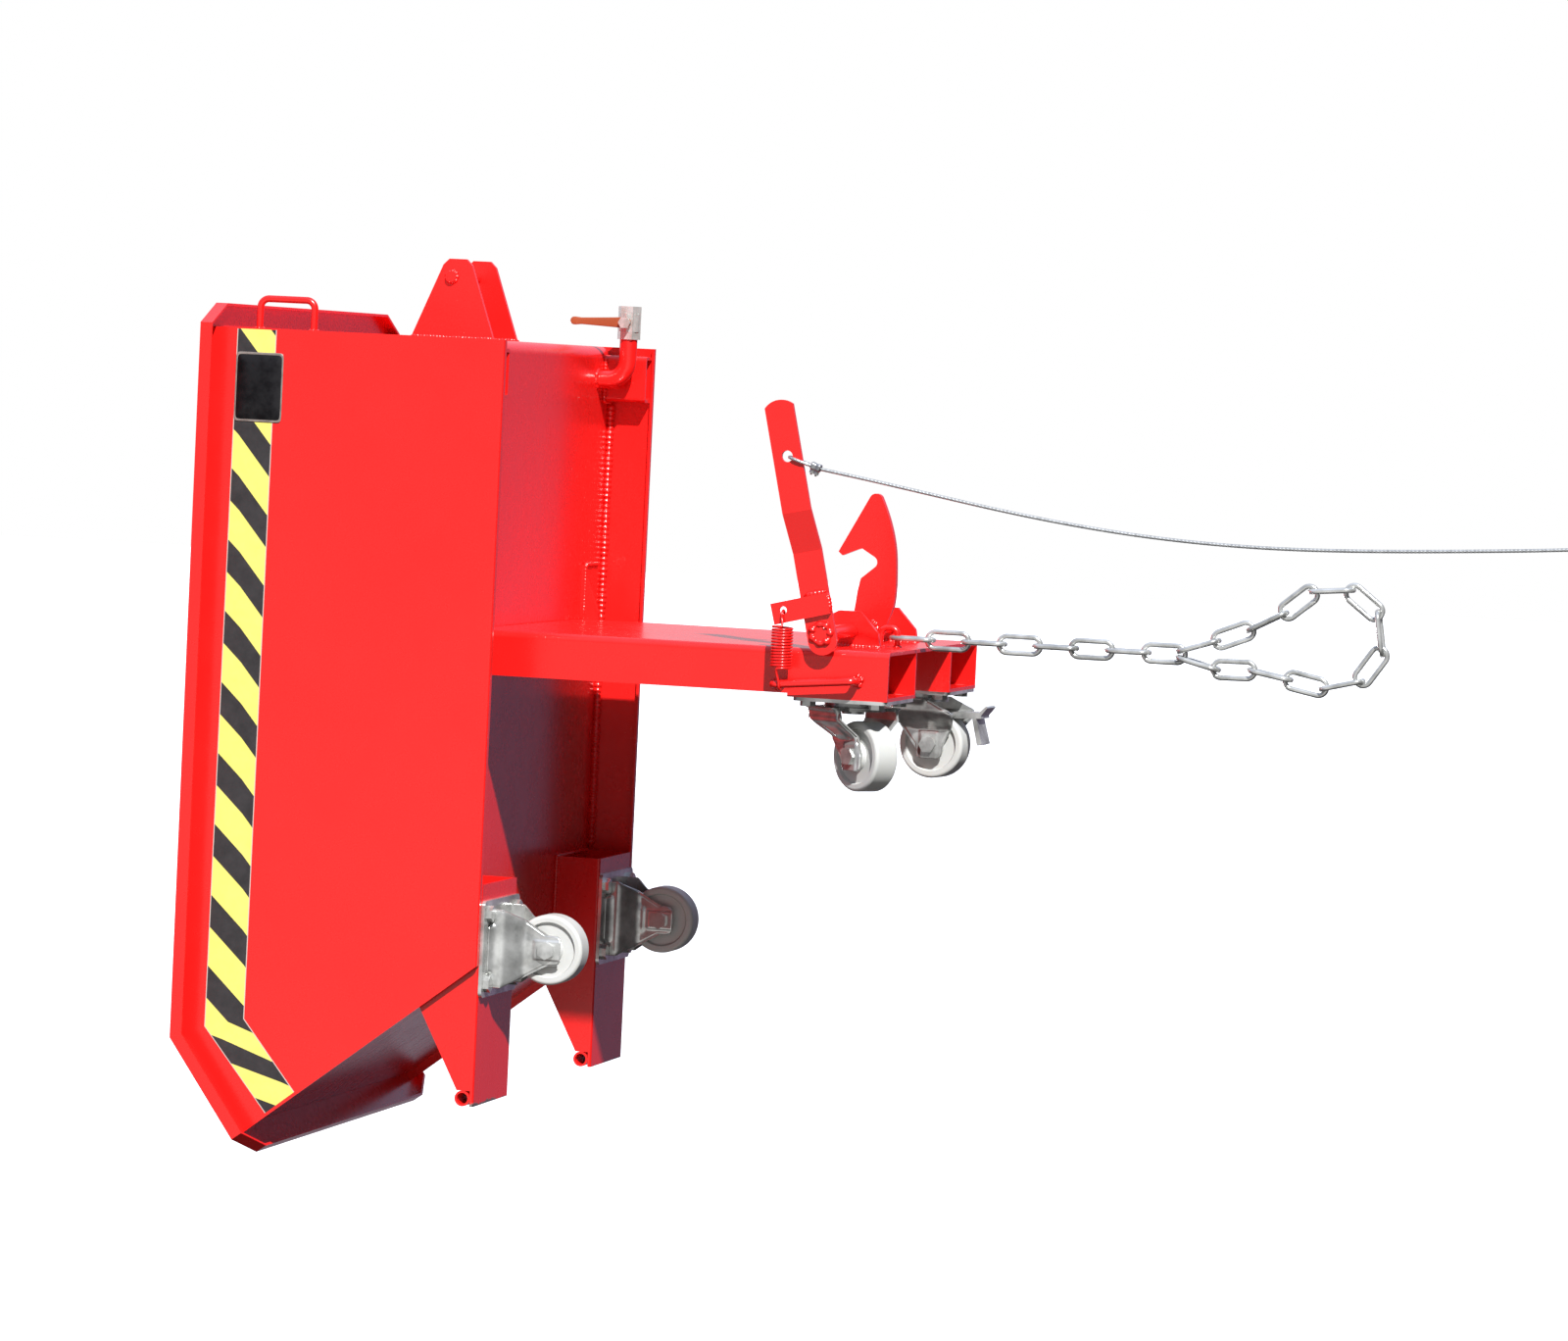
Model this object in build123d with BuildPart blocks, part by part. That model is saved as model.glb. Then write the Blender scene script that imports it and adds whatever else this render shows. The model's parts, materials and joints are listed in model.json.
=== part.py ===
"""Low tipping hopper on four casters, with a base frame that has two lift pockets.

The hopper is drawn tipped forward on its hinge, resting on its stop, with the frame level.
Millimetres. +X points to the rear mouth of the lift pockets, +Y to the far side, +Z up.
The origin lies midway between the pockets at their rear mouth, on the underside of the roof.
"""

import math
import os

from build123d import *

os.makedirs("parts", exist_ok=True)

# Base frame
frame_length = 495.0
frame_width = 450.0
frame_sheet = 4.0
frame_bend = 8.0
pocket_width = 130.0
pocket_wall_set = 3.0
seat_length = 116.0

# Hinge between frame and hopper
hinge_offset = 7.0
hinge_pin_d = 12.0
hinge_pin_chamfer = 1.5
ear_thickness = 8.0
ear_radius = 15.0
ear_root = 60.0
doubler_width = 56.0
doubler_height = 65.0
doubler_sheet = 4.0

# Hopper body
hopper_width = 630.0
sheet = 3.0
wall_height = 297.0
skirt = 56.0
skirt_return = 9.0
skirt_bend = 2.5
back_reach = 337.0
bottom_reach = 370.0
front_slope = 52.5
slope_inset = 8.0
tray_bend = 14.0
rim_level_reach = 474.0
lip_slope = 35.7
rim_flange = 27.0
rim_fold = 14.0
rim_cut_along = 23.0
rim_cut_across = 50.0

# Feet under the front of the hopper
foot_sheet = 4.0
foot_bend = 3.0
foot_width = 135.0
foot_inset = 10.0
foot_start = 279.0
foot_reach = 531.0
foot_nose_rise = 20.0
nose_tube_d = 18.0
nose_tube_wall = 2.5

# Latch lugs and pin on the back wall
lug_pitch = 94.0
lug_thickness = 6.0
lug_reach = 93.0
lug_base_low = 40.0
lug_base_high = 141.0
lug_tip_low = 70.0
lug_tip_high = 105.0
lug_tip_cut = 7.0
catch_pin_d = 13.0
catch_pin_reach = 72.0
catch_pin_height = 94.0
catch_pin_overhang = 5.0

# Grab handle on the back wall
handle_bar_d = 8.0
handle_span = 65.0
handle_reach = 34.0
handle_height = 208.0
handle_inset = 15.0
handle_bend = 10.0

# Corner blocks inside the skirts
block_length = 56.0
block_width = 30.0
block_sheet = 4.0
block_round = 6.0
block_inset = 10.0

# Drain with ball valve
pipe_d = 21.3
pipe_wall = 2.6
drain_inset = 56.0
drain_back = 40.0
drain_drop = 36.0
elbow_bend = 24.0
nipple_length = 10.0
valve_length = 40.0
valve_collar = 9.0
valve_bore_depth = 11.0
valve_d = 27.0
valve_across_flats = 25.0
valve_bore_d = 19.0
stem_d = 8.0
stem_reach = 20.0
valve_lever_length = 62.0
valve_lever_width = 14.0
valve_lever_sheet = 3.0
stem_nut = 13.0
stem_nut_height = 5.0

# Casters
wheel_d = 80.0
wheel_width = 34.0
wheel_recess = 5.0
wheel_rim = 10.0
wheel_draft = 2.0
wheel_face_set = 1.0
wheel_round = 4.0
hub_d = 30.0
bush_d = 16.0
bush_overhang = 1.5
axle_d = 12.0
axle_head = 18.0
axle_head_height = 7.0
caster_height = 105.0
caster_plate_length = 110.0
caster_plate_width = 135.0
caster_plate = 4.0
caster_plate_round = 7.0
bolt_pitch_length = 80.0
bolt_pitch_width = 105.0
plate_bolt_d = 10.0
plate_bolt_head = 16.0
plate_bolt_head_height = 6.0
leg_sheet = 3.0
leg_spread = 40.0
leg_root_length = 88.0
leg_joggle_start = 14.0
leg_joggle_end = 32.0
leg_end_radius = 16.0
rigid_station = 352.0
swivel_trail = 26.0
near_swivel = -37.0
far_swivel = -8.0
race_d = 66.0
race_height = 6.0
crown_d = 76.0
crown_root = 53.0
crown_sheet = 4.0
king_pin_d = 14.0
king_pin_head_d = 26.0
king_pin_head = 4.0

# Brake pedal on the far swivel caster
pedal_width = 28.0
pedal_pin_d = 6.0
pedal_pin_trail = 52.0
pedal_pin_depth = 29.0
pedal_ear_radius = 7.0
pedal_boss_d = 8.0
pedal_arm = ((0, -4), (34, -5), (36, 2), (0, 4))
pedal_tread = ((32, -4), (41, -13), (43, -11), (35, -1))
pedal_flap = ((24, 1), (29, 1), (38, 32), (32, 34))

# Latch on the roof
catch_ahead = 3.3
latch_height = 18.0
latch_shaft_d = 16.0
latch_bracket_pitch = 186.0
latch_bracket = 8.0
bracket_outline = ((-40, 0), (-36, 29), (-16, 40), (9, 40), (31, 16), (34, 0))
latch_shaft_far_overhang = 8.0
latch_shaft_near_overhang = 2.0
hook_thickness = 10.0
hook_boss = 16.5
hook_back = ((8.7, 76.5), (16.1, 59.6), (22.9, 39.7), (28.3, 14.6), (30.1, -10.7), (30.3, -36), (28.9, -50.1))
hook_front = ((-17.7, -59), (-16.3, -48.8), (-14.5, -33.4), (-11.3, -19.3))
hook_beak = ((-11.7, 15.5), (-18.1, 13.4), (-34.8, 6.2), (-39.5, 10.5), (-4.3, 76.3))
hook_tip = (2.1, 79.7)
notch_low = -47.0
notch_high = 60.0
lever_thickness = 6.0
lever_width = 33.0
lever_length = 266.0
lever_crown = 7.0
lever_drop = 8.0
lever_angle = 12.7
lever_gap = 10.0
lever_crank = 18.0
lever_crank_start = 93.0
lever_crank_end = 141.0
lever_eye_d = 13.0
lever_eye_reach = 202.0
tab_length = 66.0
tab_width = 24.0
tab_thickness = 6.0
tab_angle = 14.3
tab_rise = 33.0
tab_hole_d = 9.0
tab_hole_inset = 13.0
tab_hole_edge = 14.0

# Latch spring and its rod
spring_wire = 2.8
spring_d = 25.0
spring_turns = 14
spring_pitch = 3.35
spring_hook_radius = 6.4
spring_samples = 700
rod_d = 9.0
rod_length = 94.0
rod_lead = 9.0
rod_drop = 41.2
rod_rise = 5.2
rod_bend = 6.0

# Chain eye and safety chain
eye_bar_d = 7.0
eye_span = 20.0
eye_height = 22.0
eye_bend = 8.0
eye_behind_shaft = 38.0
eye_y = -70.0
link_wire = 6.0
link_play = 0.8
link_inner_width = 13.0
chain_pitch = 42.0
chain_run_links = 8
chain_lie = 11.0
loop_headings = (18, 22, 28, 40, 5, -38, -81, -124, -166, -191, -190)
loop_return = 14.0
nest_gap = 0.5

# Pull rope
rope_d = 4.0
rope_fall = 18.0
rope_strands = 4.4
rope_eye_set = 2.5
rope_eye_neck = 23.0
rope_eye_length = 29.0
rope_bend_share = 0.45
rope_route = (
    (-33, 198.6),
    (8, 191.5),
    (62, 182),
    (117, 172.5),
    (172, 164),
    (228, 156.8),
    (285, 151),
    (342, 147.2),
    (399, 145.2),
    (457, 145),
    (515, 146.5),
    (573, 149),
    (631, 152.2),
    (690, 155.8),
    (738, 159),
    (778, 162.2),
)
loop_outline = ((18, 9), (40, 17), (62, 18), (78, 8), (78, -8), (62, -18), (40, -17), (18, -9))
ferrule_length = 14.0
ferrule_wall = 1.5
clip_length = 12.0
clip_width = 11.0
clip_above = 5.0
clip_below = 10.0
clip_round = 2.0

# Clearances
stop_gap = 0.3
running = 0.05
weld_fit = 0.02
side_gap = 3.0
catch_gap = 0.8
face_gap = 0.3
rope_gap = 0.8
pick = 0.1

# Places worked out from the sizes above
frame_height = skirt - stop_gap - frame_sheet
half_frame = frame_width / 2
half_hopper = hopper_width / 2
floor_x = -frame_length - stop_gap
hinge_x = floor_x + hinge_offset
hinge_z = frame_sheet + stop_gap - hinge_offset
frame_bottom = frame_sheet - frame_height
floor_v = hinge_offset
rim_v = floor_v + wall_height
skirt_v = floor_v - skirt
inner_half = half_hopper - sheet


def keep(piece, name):
    """Labels a finished piece and writes it under its name."""
    piece.part.label = name
    export_step(piece.part, f"parts/{name}.step")


def hopper_point(u, v, w):
    """A point of the hopper: u forward and v up from the hinge as it stands, w to the far side."""
    return Vector(hinge_x - v, w, hinge_z - u)


def hopper_side(w):
    """The hopper's side view at w: local x forward, local y up, normal to the far side."""
    return Plane(origin=hopper_point(0, 0, w), x_dir=(0, 0, -1), z_dir=(0, 1, 0))


def hopper_under(u, v, w):
    """A plane seen from below the hopper: local x forward, local y to the far side."""
    return Plane(origin=hopper_point(u, v, w), x_dir=(0, 0, -1), z_dir=(1, 0, 0))


def hopper_across(u):
    """A cross-section of the hopper: local x to the far side, local y up, normal backward."""
    return Plane(origin=hopper_point(u, 0, 0), x_dir=(0, 1, 0), z_dir=(0, 0, 1))


def frame_side(y):
    """The frame's side view at y: local x to the rear, local y up, normal to the near side."""
    return Plane(origin=(0, y, 0), x_dir=(1, 0, 0), z_dir=(0, -1, 0))


def on_line(start, angle, reach):
    """The point at a reach along a line that rises at an angle."""
    return (
        start[0] + reach * math.cos(math.radians(angle)),
        start[1] + reach * math.sin(math.radians(angle)),
    )


def meet(a, angle_a, b, angle_b):
    """Where the line from a at angle_a meets the line from b at angle_b."""
    ax, ay = math.cos(math.radians(angle_a)), math.sin(math.radians(angle_a))
    bx, by = math.cos(math.radians(angle_b)), math.sin(math.radians(angle_b))
    reach = ((b[0] - a[0]) * by - (b[1] - a[1]) * bx) / (ax * by - ay * bx)
    return (a[0] + reach * ax, a[1] + reach * ay)


# Base frame: roof and sides bent from one sheet, its front edge rounded about the hinge
with BuildPart() as base_roof:
    with BuildSketch(Plane.YZ.offset(-frame_length)):
        with BuildLine():
            FilletPolyline(
                (-half_frame, frame_bottom),
                (-half_frame, frame_sheet),
                (half_frame, frame_sheet),
                (half_frame, frame_bottom),
                radius=frame_bend,
            )
            offset(amount=frame_sheet, side=Side.RIGHT)
        make_face()
    extrude(amount=frame_length)
    with BuildSketch(frame_side(half_frame)):
        with Locations((hinge_x - hinge_offset / 2, hinge_z + hinge_offset / 2)):
            Rectangle(hinge_offset, hinge_offset)
        with Locations((hinge_x, hinge_z)):
            Circle(hinge_offset - stop_gap, mode=Mode.SUBTRACT)
    extrude(amount=frame_width, mode=Mode.SUBTRACT)
keep(base_roof, "base_roof")

pocket_wall_y = half_frame - frame_sheet - pocket_width
with BuildPart() as pocket_walls:
    for side in (-1, 1):
        with BuildSketch(Plane.XZ.offset(-side * pocket_wall_y)):
            with Locations(((pocket_wall_set - frame_length) / 2, frame_bottom / 2)):
                Rectangle(frame_length - pocket_wall_set, -frame_bottom)
        extrude(amount=side * frame_sheet)
keep(pocket_walls, "pocket_walls")

# Plates that close the pockets below, under the casters
seat_width = pocket_width + 2 * frame_sheet
seat_y = half_frame - seat_width / 2
swivel_x = -caster_plate_length / 2
swivel_y = half_frame - caster_plate_width / 2
seat_bottom = frame_bottom - frame_sheet
with BuildPart() as caster_seats:
    for side in (-1, 1):
        with BuildSketch(Plane.XY.offset(seat_bottom)):
            with Locations((-seat_length / 2, side * seat_y)):
                Rectangle(seat_length, seat_width)
            with Locations((swivel_x, side * swivel_y)):
                with GridLocations(bolt_pitch_length, bolt_pitch_width, 2, 2):
                    Circle(plate_bolt_d / 2 + running, mode=Mode.SUBTRACT)
        extrude(amount=frame_sheet)
keep(caster_seats, "caster_seats")

# Hinge pins on the frame's sides, through the hopper's ears
ear_y = half_frame + side_gap
pin_length = side_gap + ear_thickness + side_gap
with BuildPart() as hinge_pins:
    for side in (-1, 1):
        with BuildSketch(Plane(origin=(hinge_x, side * half_frame, hinge_z), z_dir=(0, side, 0))):
            Circle(hinge_pin_d / 2)
        extrude(amount=pin_length)
    chamfer(
        [hinge_pins.edges().sort_by(Axis.Y)[0], hinge_pins.edges().sort_by(Axis.Y)[-1]],
        length=hinge_pin_chamfer,
    )
keep(hinge_pins, "hinge_pins")

# Hopper: side walls with skirts that turn in at their lower edge
wall_front = (bottom_reach, skirt_v)
rim_bend = (rim_level_reach, rim_v)
wall_nose = meet(wall_front, front_slope, rim_bend, -lip_slope)
rim_drop = sheet / math.cos(math.radians(lip_slope))
wall_tip = (wall_nose[0], wall_nose[1] - rim_drop)
wall_bend = meet(wall_tip, -lip_slope, (0, rim_v - sheet), 0)
for name, side in (("near", -1), ("far", 1)):
    with BuildPart() as side_wall:
        with BuildSketch(hopper_side(side * half_hopper)):
            with BuildLine():
                Polyline(
                    (-back_reach, skirt_v),
                    wall_front,
                    wall_tip,
                    wall_bend,
                    (-back_reach, rim_v - sheet),
                    close=True,
                )
            make_face()
        extrude(amount=-side * sheet)
        with BuildSketch(hopper_under(0, skirt_v, side * half_hopper)):
            with Locations(((bottom_reach - back_reach) / 2, -side * skirt_return / 2)):
                Rectangle(back_reach + bottom_reach, skirt_return)
        extrude(amount=-sheet)
        fillet(
            side_wall.edges()
            .filter_by(Axis.Z)
            .filter_by_position(Axis.X, hinge_x - skirt_v - pick, hinge_x - skirt_v + pick)
            .sort_by(Axis.Y)[0 if side < 0 else -1],
            radius=skirt_bend,
        )
    keep(side_wall, f"side_wall_{name}")

# Tray: back, floor and sloped front, one sheet bent twice
slope_start = on_line(wall_front, front_slope + 90, slope_inset)
tray_front = meet(slope_start, front_slope, rim_bend, -lip_slope)
slope_foot = meet(slope_start, front_slope, (0, floor_v), 0)
tray_end = on_line(tray_front, front_slope, -rim_drop)
with BuildPart() as tray:
    with BuildSketch(hopper_side(-inner_half)):
        with BuildLine():
            FilletPolyline(
                (-back_reach, rim_v - sheet),
                (-back_reach, floor_v),
                slope_foot,
                tray_end,
                radius=tray_bend,
            )
            offset(amount=sheet, side=Side.LEFT)
        make_face()
    extrude(amount=2 * inner_half)
keep(tray, "tray")

# Rim: a flange turned outward all round, cut off at its corners, with its edge folded down
rim_half = half_hopper + rim_flange
rim_back = back_reach + rim_flange
level_length = rim_back + rim_level_reach
lip_inner = math.dist(rim_bend, tray_front) - sheet
lip_length = math.dist(rim_bend, wall_nose) + rim_flange
rim_level = Plane(origin=hopper_point(-rim_back, rim_v, 0), x_dir=(0, 0, -1), z_dir=(1, 0, 0))
lip_point = on_line((0, 0), -lip_slope, 1.0)
lip_plane = Plane(
    origin=hopper_point(*rim_bend, 0),
    x_dir=(-lip_point[1], 0, -lip_point[0]),
    z_dir=(lip_point[0], 0, -lip_point[1]),
)
level_edge = (
    (level_length, -rim_half),
    (rim_cut_along, -rim_half),
    (0, rim_cut_across - rim_half),
    (0, rim_half - rim_cut_across),
    (rim_cut_along, rim_half),
    (level_length, rim_half),
)
lip_edge = (
    (0, -rim_half),
    (lip_length - rim_cut_along, -rim_half),
    (lip_length, rim_cut_across - rim_half),
    (lip_length, rim_half - rim_cut_across),
    (lip_length - rim_cut_along, rim_half),
    (0, rim_half),
)
with BuildPart() as rim:
    with BuildSketch(rim_level):
        Polygon(*level_edge, align=None)
        with Locations((level_length / 2 + rim_flange + sheet, 0)):
            Rectangle(level_length, 2 * inner_half, mode=Mode.SUBTRACT)
    extrude(amount=sheet)
    with BuildSketch(rim_level):
        with BuildLine():
            Polyline(*level_edge)
            offset(amount=sheet, side=Side.RIGHT)
        make_face()
    extrude(amount=rim_fold)
    with BuildSketch(lip_plane):
        Polygon(*lip_edge, align=None)
        with Locations((lip_inner / 2, 0)):
            Rectangle(lip_inner, 2 * inner_half, mode=Mode.SUBTRACT)
    extrude(amount=sheet)
    with BuildSketch(lip_plane):
        with BuildLine():
            Polyline(*lip_edge)
            offset(amount=sheet, side=Side.LEFT)
        make_face()
    extrude(amount=rim_fold)
keep(rim, "rim")

# Feet: channels bent from sheet, open towards the floor, whose web runs on beyond their sides
foot_outer = inner_half - foot_inset + sheet
foot_centre = foot_outer - foot_width / 2
foot_side_end = foot_reach - nose_tube_d
nose_root = on_line(slope_foot, front_slope, foot_nose_rise)
for name, side in (("near", -1), ("far", 1)):
    with BuildPart() as foot:
        with BuildSketch(hopper_side(side * foot_centre - foot_width / 2)):
            with BuildLine():
                Polyline(
                    (foot_start, skirt_v),
                    (foot_side_end, skirt_v),
                    (foot_side_end, skirt_v + foot_nose_rise),
                    nose_root,
                    slope_foot,
                    (foot_start, floor_v),
                    close=True,
                )
            make_face()
        extrude(amount=foot_width)
        with BuildSketch(hopper_across(foot_start)):
            with Locations((side * foot_centre, skirt_v + foot_sheet + skirt)):
                Rectangle(foot_width - 2 * foot_sheet, 2 * skirt)
        extrude(amount=-(foot_reach - foot_start), mode=Mode.SUBTRACT)
        with BuildSketch(hopper_under((foot_start + foot_reach) / 2, skirt_v, side * foot_centre)):
            Rectangle(foot_reach - foot_start, foot_width)
        extrude(amount=-foot_sheet)
        with BuildSketch(hopper_under(rigid_station, skirt_v, side * foot_centre)):
            with GridLocations(bolt_pitch_length, bolt_pitch_width, 2, 2):
                Circle(plate_bolt_d / 2 + running)
        extrude(amount=-foot_sheet, mode=Mode.SUBTRACT)
        fillet(
            foot.edges()
            .filter_by(Axis.Z)
            .filter_by_position(Axis.X, hinge_x - skirt_v - pick, hinge_x - skirt_v + pick),
            radius=foot_bend,
        )
    keep(foot, f"foot_{name}")

# Tubes across the feet's noses, on the web
tube_u = foot_reach - nose_tube_d / 2
tube_v = skirt_v + foot_sheet + nose_tube_d / 2
with BuildPart() as nose_tubes:
    for side in (-1, 1):
        with BuildSketch(hopper_side(side * foot_centre - foot_width / 2)):
            with Locations((tube_u, tube_v)):
                Circle(nose_tube_d / 2)
                Circle(nose_tube_d / 2 - nose_tube_wall, mode=Mode.SUBTRACT)
        extrude(amount=foot_width)
keep(nose_tubes, "nose_tubes")

# Hinge ears under the floor, each rooted on its doubler plate
ear_centre = ear_y + ear_thickness / 2
doubler_y = ear_y + doubler_width / 2 - side_gap / 2
with BuildPart() as hinge_doublers:
    for side in (-1, 1):
        with BuildSketch(hopper_under(0, floor_v, side * doubler_y)):
            with Locations((-hinge_offset - doubler_height / 2, 0)):
                Rectangle(doubler_height, doubler_width)
        extrude(amount=doubler_sheet)
keep(hinge_doublers, "hinge_doublers")

with BuildPart() as hinge_ears:
    for side in (-1, 1):
        with BuildSketch(hopper_side(side * ear_centre - ear_thickness / 2)):
            with BuildLine():
                Polyline(
                    (ear_radius, floor_v),
                    (ear_radius, 0),
                    (0, -ear_radius),
                    (-ear_radius, -ear_radius),
                    (-ear_root, floor_v - doubler_sheet),
                    (-hinge_offset, floor_v - doubler_sheet),
                    (-hinge_offset, floor_v),
                    close=True,
                )
            make_face()
            Circle(hinge_pin_d / 2 + running, mode=Mode.SUBTRACT)
        extrude(amount=ear_thickness)
keep(hinge_ears, "hinge_ears")

# Latch lugs on the back wall, and the pin that they carry
catch_u = -back_reach - catch_pin_reach
catch_v = floor_v + catch_pin_height
lug_end = -back_reach - lug_reach
with BuildPart() as latch_lugs:
    for side in (-1, 1):
        with BuildSketch(hopper_side(side * lug_pitch / 2 - lug_thickness / 2)):
            with BuildLine():
                Polyline(
                    (-back_reach, floor_v + lug_base_low),
                    (-back_reach, floor_v + lug_base_high),
                    (lug_end + lug_tip_cut, floor_v + lug_tip_high),
                    (lug_end, floor_v + lug_tip_high - lug_tip_cut),
                    (lug_end, floor_v + lug_tip_low + lug_tip_cut),
                    (lug_end + lug_tip_cut, floor_v + lug_tip_low),
                    close=True,
                )
            make_face()
            with Locations((catch_u, catch_v)):
                Circle(catch_pin_d / 2 + weld_fit, mode=Mode.SUBTRACT)
        extrude(amount=lug_thickness)
keep(latch_lugs, "latch_lugs")

catch_half = (lug_pitch + lug_thickness) / 2 + catch_pin_overhang
with BuildPart() as catch_pin:
    with BuildSketch(hopper_side(-catch_half)):
        with Locations((catch_u, catch_v)):
            Circle(catch_pin_d / 2)
    extrude(amount=2 * catch_half)
keep(catch_pin, "catch_pin")

# Grab handle, one bent bar
handle_plane = hopper_side(handle_inset - half_hopper)
handle_low = floor_v + handle_height - handle_span / 2
with BuildPart() as grab_handle:
    with BuildLine(handle_plane) as handle_path:
        FilletPolyline(
            (-back_reach, handle_low),
            (-back_reach - handle_reach, handle_low),
            (-back_reach - handle_reach, handle_low + handle_span),
            (-back_reach, handle_low + handle_span),
            radius=handle_bend,
        )
    with BuildSketch(handle_path.line ^ 0):
        Circle(handle_bar_d / 2)
    sweep()
keep(grab_handle, "grab_handle")

# Corner blocks: stubs of box tube that stand under the floor, inside the skirts at the back
block_u = block_inset + block_length / 2 - back_reach
block_w = inner_half - block_width / 2
with BuildPart() as corner_blocks:
    for side in (-1, 1):
        with BuildSketch(hopper_under(block_u, floor_v, side * block_w)):
            RectangleRounded(block_length, block_width, block_round)
            RectangleRounded(
                block_length - 2 * block_sheet,
                block_width - 2 * block_sheet,
                block_round - block_sheet,
                mode=Mode.SUBTRACT,
            )
        extrude(amount=skirt - sheet)
keep(corner_blocks, "corner_blocks")

# Drain: a bent pipe from the floor to the back, with a ball valve on its end
drain_w = half_hopper - drain_inset
drain_u = drain_back - back_reach
drain_v = floor_v - drain_drop
nipple_end = -back_reach - nipple_length
with BuildPart() as drain_pipe:
    with BuildLine(hopper_side(drain_w)) as drain_path:
        FilletPolyline(
            (drain_u, floor_v),
            (drain_u, drain_v),
            (nipple_end, drain_v),
            radius=elbow_bend,
        )
    with BuildSketch(drain_path.line ^ 0):
        Circle(pipe_d / 2)
        Circle(pipe_d / 2 - pipe_wall, mode=Mode.SUBTRACT)
    sweep()
keep(drain_pipe, "drain_pipe")

valve_axis = Plane(origin=hopper_point(nipple_end, drain_v, drain_w), x_dir=(1, 0, 0), z_dir=(0, 0, 1))
stem_foot = valve_axis.from_local_coords((0, 0, valve_length / 2))
with BuildPart() as valve_body:
    with BuildSketch(valve_axis):
        RegularPolygon(valve_across_flats / 2, 6, major_radius=False)
    extrude(amount=valve_length)
    with BuildSketch(valve_axis.offset(valve_collar)):
        Circle(valve_d / 2)
    extrude(amount=valve_length - 2 * valve_collar)
    with BuildSketch(valve_axis.offset(valve_length)):
        Circle(valve_bore_d / 2)
    extrude(amount=-valve_bore_depth, mode=Mode.SUBTRACT)
    with BuildSketch(Plane(origin=stem_foot, z_dir=(0, -1, 0))):
        Circle(stem_d / 2)
    extrude(amount=stem_reach + stem_nut_height)
keep(valve_body, "valve_body")

lever_seat = Plane(
    origin=hopper_point(nipple_end - valve_length / 2, drain_v, drain_w - stem_reach),
    x_dir=(-1, 0, 0),
    z_dir=(0, -1, 0),
)
with BuildPart() as valve_lever:
    with BuildSketch(lever_seat):
        with Locations((valve_lever_length / 2, 0)):
            SlotCenterToCenter(valve_lever_length, valve_lever_width)
        Circle(stem_d / 2 + running, mode=Mode.SUBTRACT)
    extrude(amount=-valve_lever_sheet)
keep(valve_lever, "valve_lever")

with BuildPart() as stem_nut_piece:
    with BuildSketch(lever_seat):
        RegularPolygon(stem_nut / 2, 6, major_radius=False)
        Circle(stem_d / 2 + weld_fit, mode=Mode.SUBTRACT)
    extrude(amount=stem_nut_height)
keep(stem_nut_piece, "stem_nut")

# Casters. A mount plane lies on the face that a plate bolts to: its normal points to the ground,
# local x runs along the wheel's way and local y across it.
axle_depth = caster_height - wheel_d / 2
leg_face = wheel_width / 2 + bush_overhang + running
leg_outer = leg_face + leg_sheet


def caster_section(mount, along):
    """A cross-section of a caster: local x across, local y to the ground."""
    return Plane(origin=mount.from_local_coords((along, 0, 0)), x_dir=mount.y_dir, z_dir=mount.x_dir)


def caster_view(mount, across):
    """A side view of a caster: local x along, local y to the ground."""
    return Plane(
        origin=mount.from_local_coords((0, across, 0)), x_dir=mount.x_dir, z_dir=mount.y_dir * -1
    )


def plate_sketch():
    """A caster's top plate with its four bolt holes."""
    RectangleRounded(caster_plate_length, caster_plate_width, caster_plate_round)
    with GridLocations(bolt_pitch_length, bolt_pitch_width, 2, 2):
        Circle(plate_bolt_d / 2 + running, mode=Mode.SUBTRACT)


def legs_sketch(top):
    """Both legs of a bracket in cross-section, drawn in to the wheel below a joggle."""
    for way in (-1, 1):
        Polygon(
            (way * leg_spread, top),
            (way * leg_spread, top + leg_joggle_start),
            (way * leg_face, top + leg_joggle_end),
            (way * leg_face, axle_depth + leg_end_radius),
            (way * leg_outer, axle_depth + leg_end_radius),
            (way * leg_outer, top + leg_joggle_end),
            (way * (leg_spread + leg_sheet), top + leg_joggle_start),
            (way * (leg_spread + leg_sheet), top),
            align=None,
        )


def leg_outline(top, root_length, trail, ears=()):
    """A leg in side view: broad at its root and round about the axle and any further pin."""
    with Locations((0, top + leg_joggle_start / 2)):
        Rectangle(root_length, leg_joggle_start)
    with Locations((trail, axle_depth)):
        Circle(leg_end_radius)
    for ear in ears:
        with Locations(ear):
            Circle(pedal_ear_radius)
    make_hull()


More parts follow.
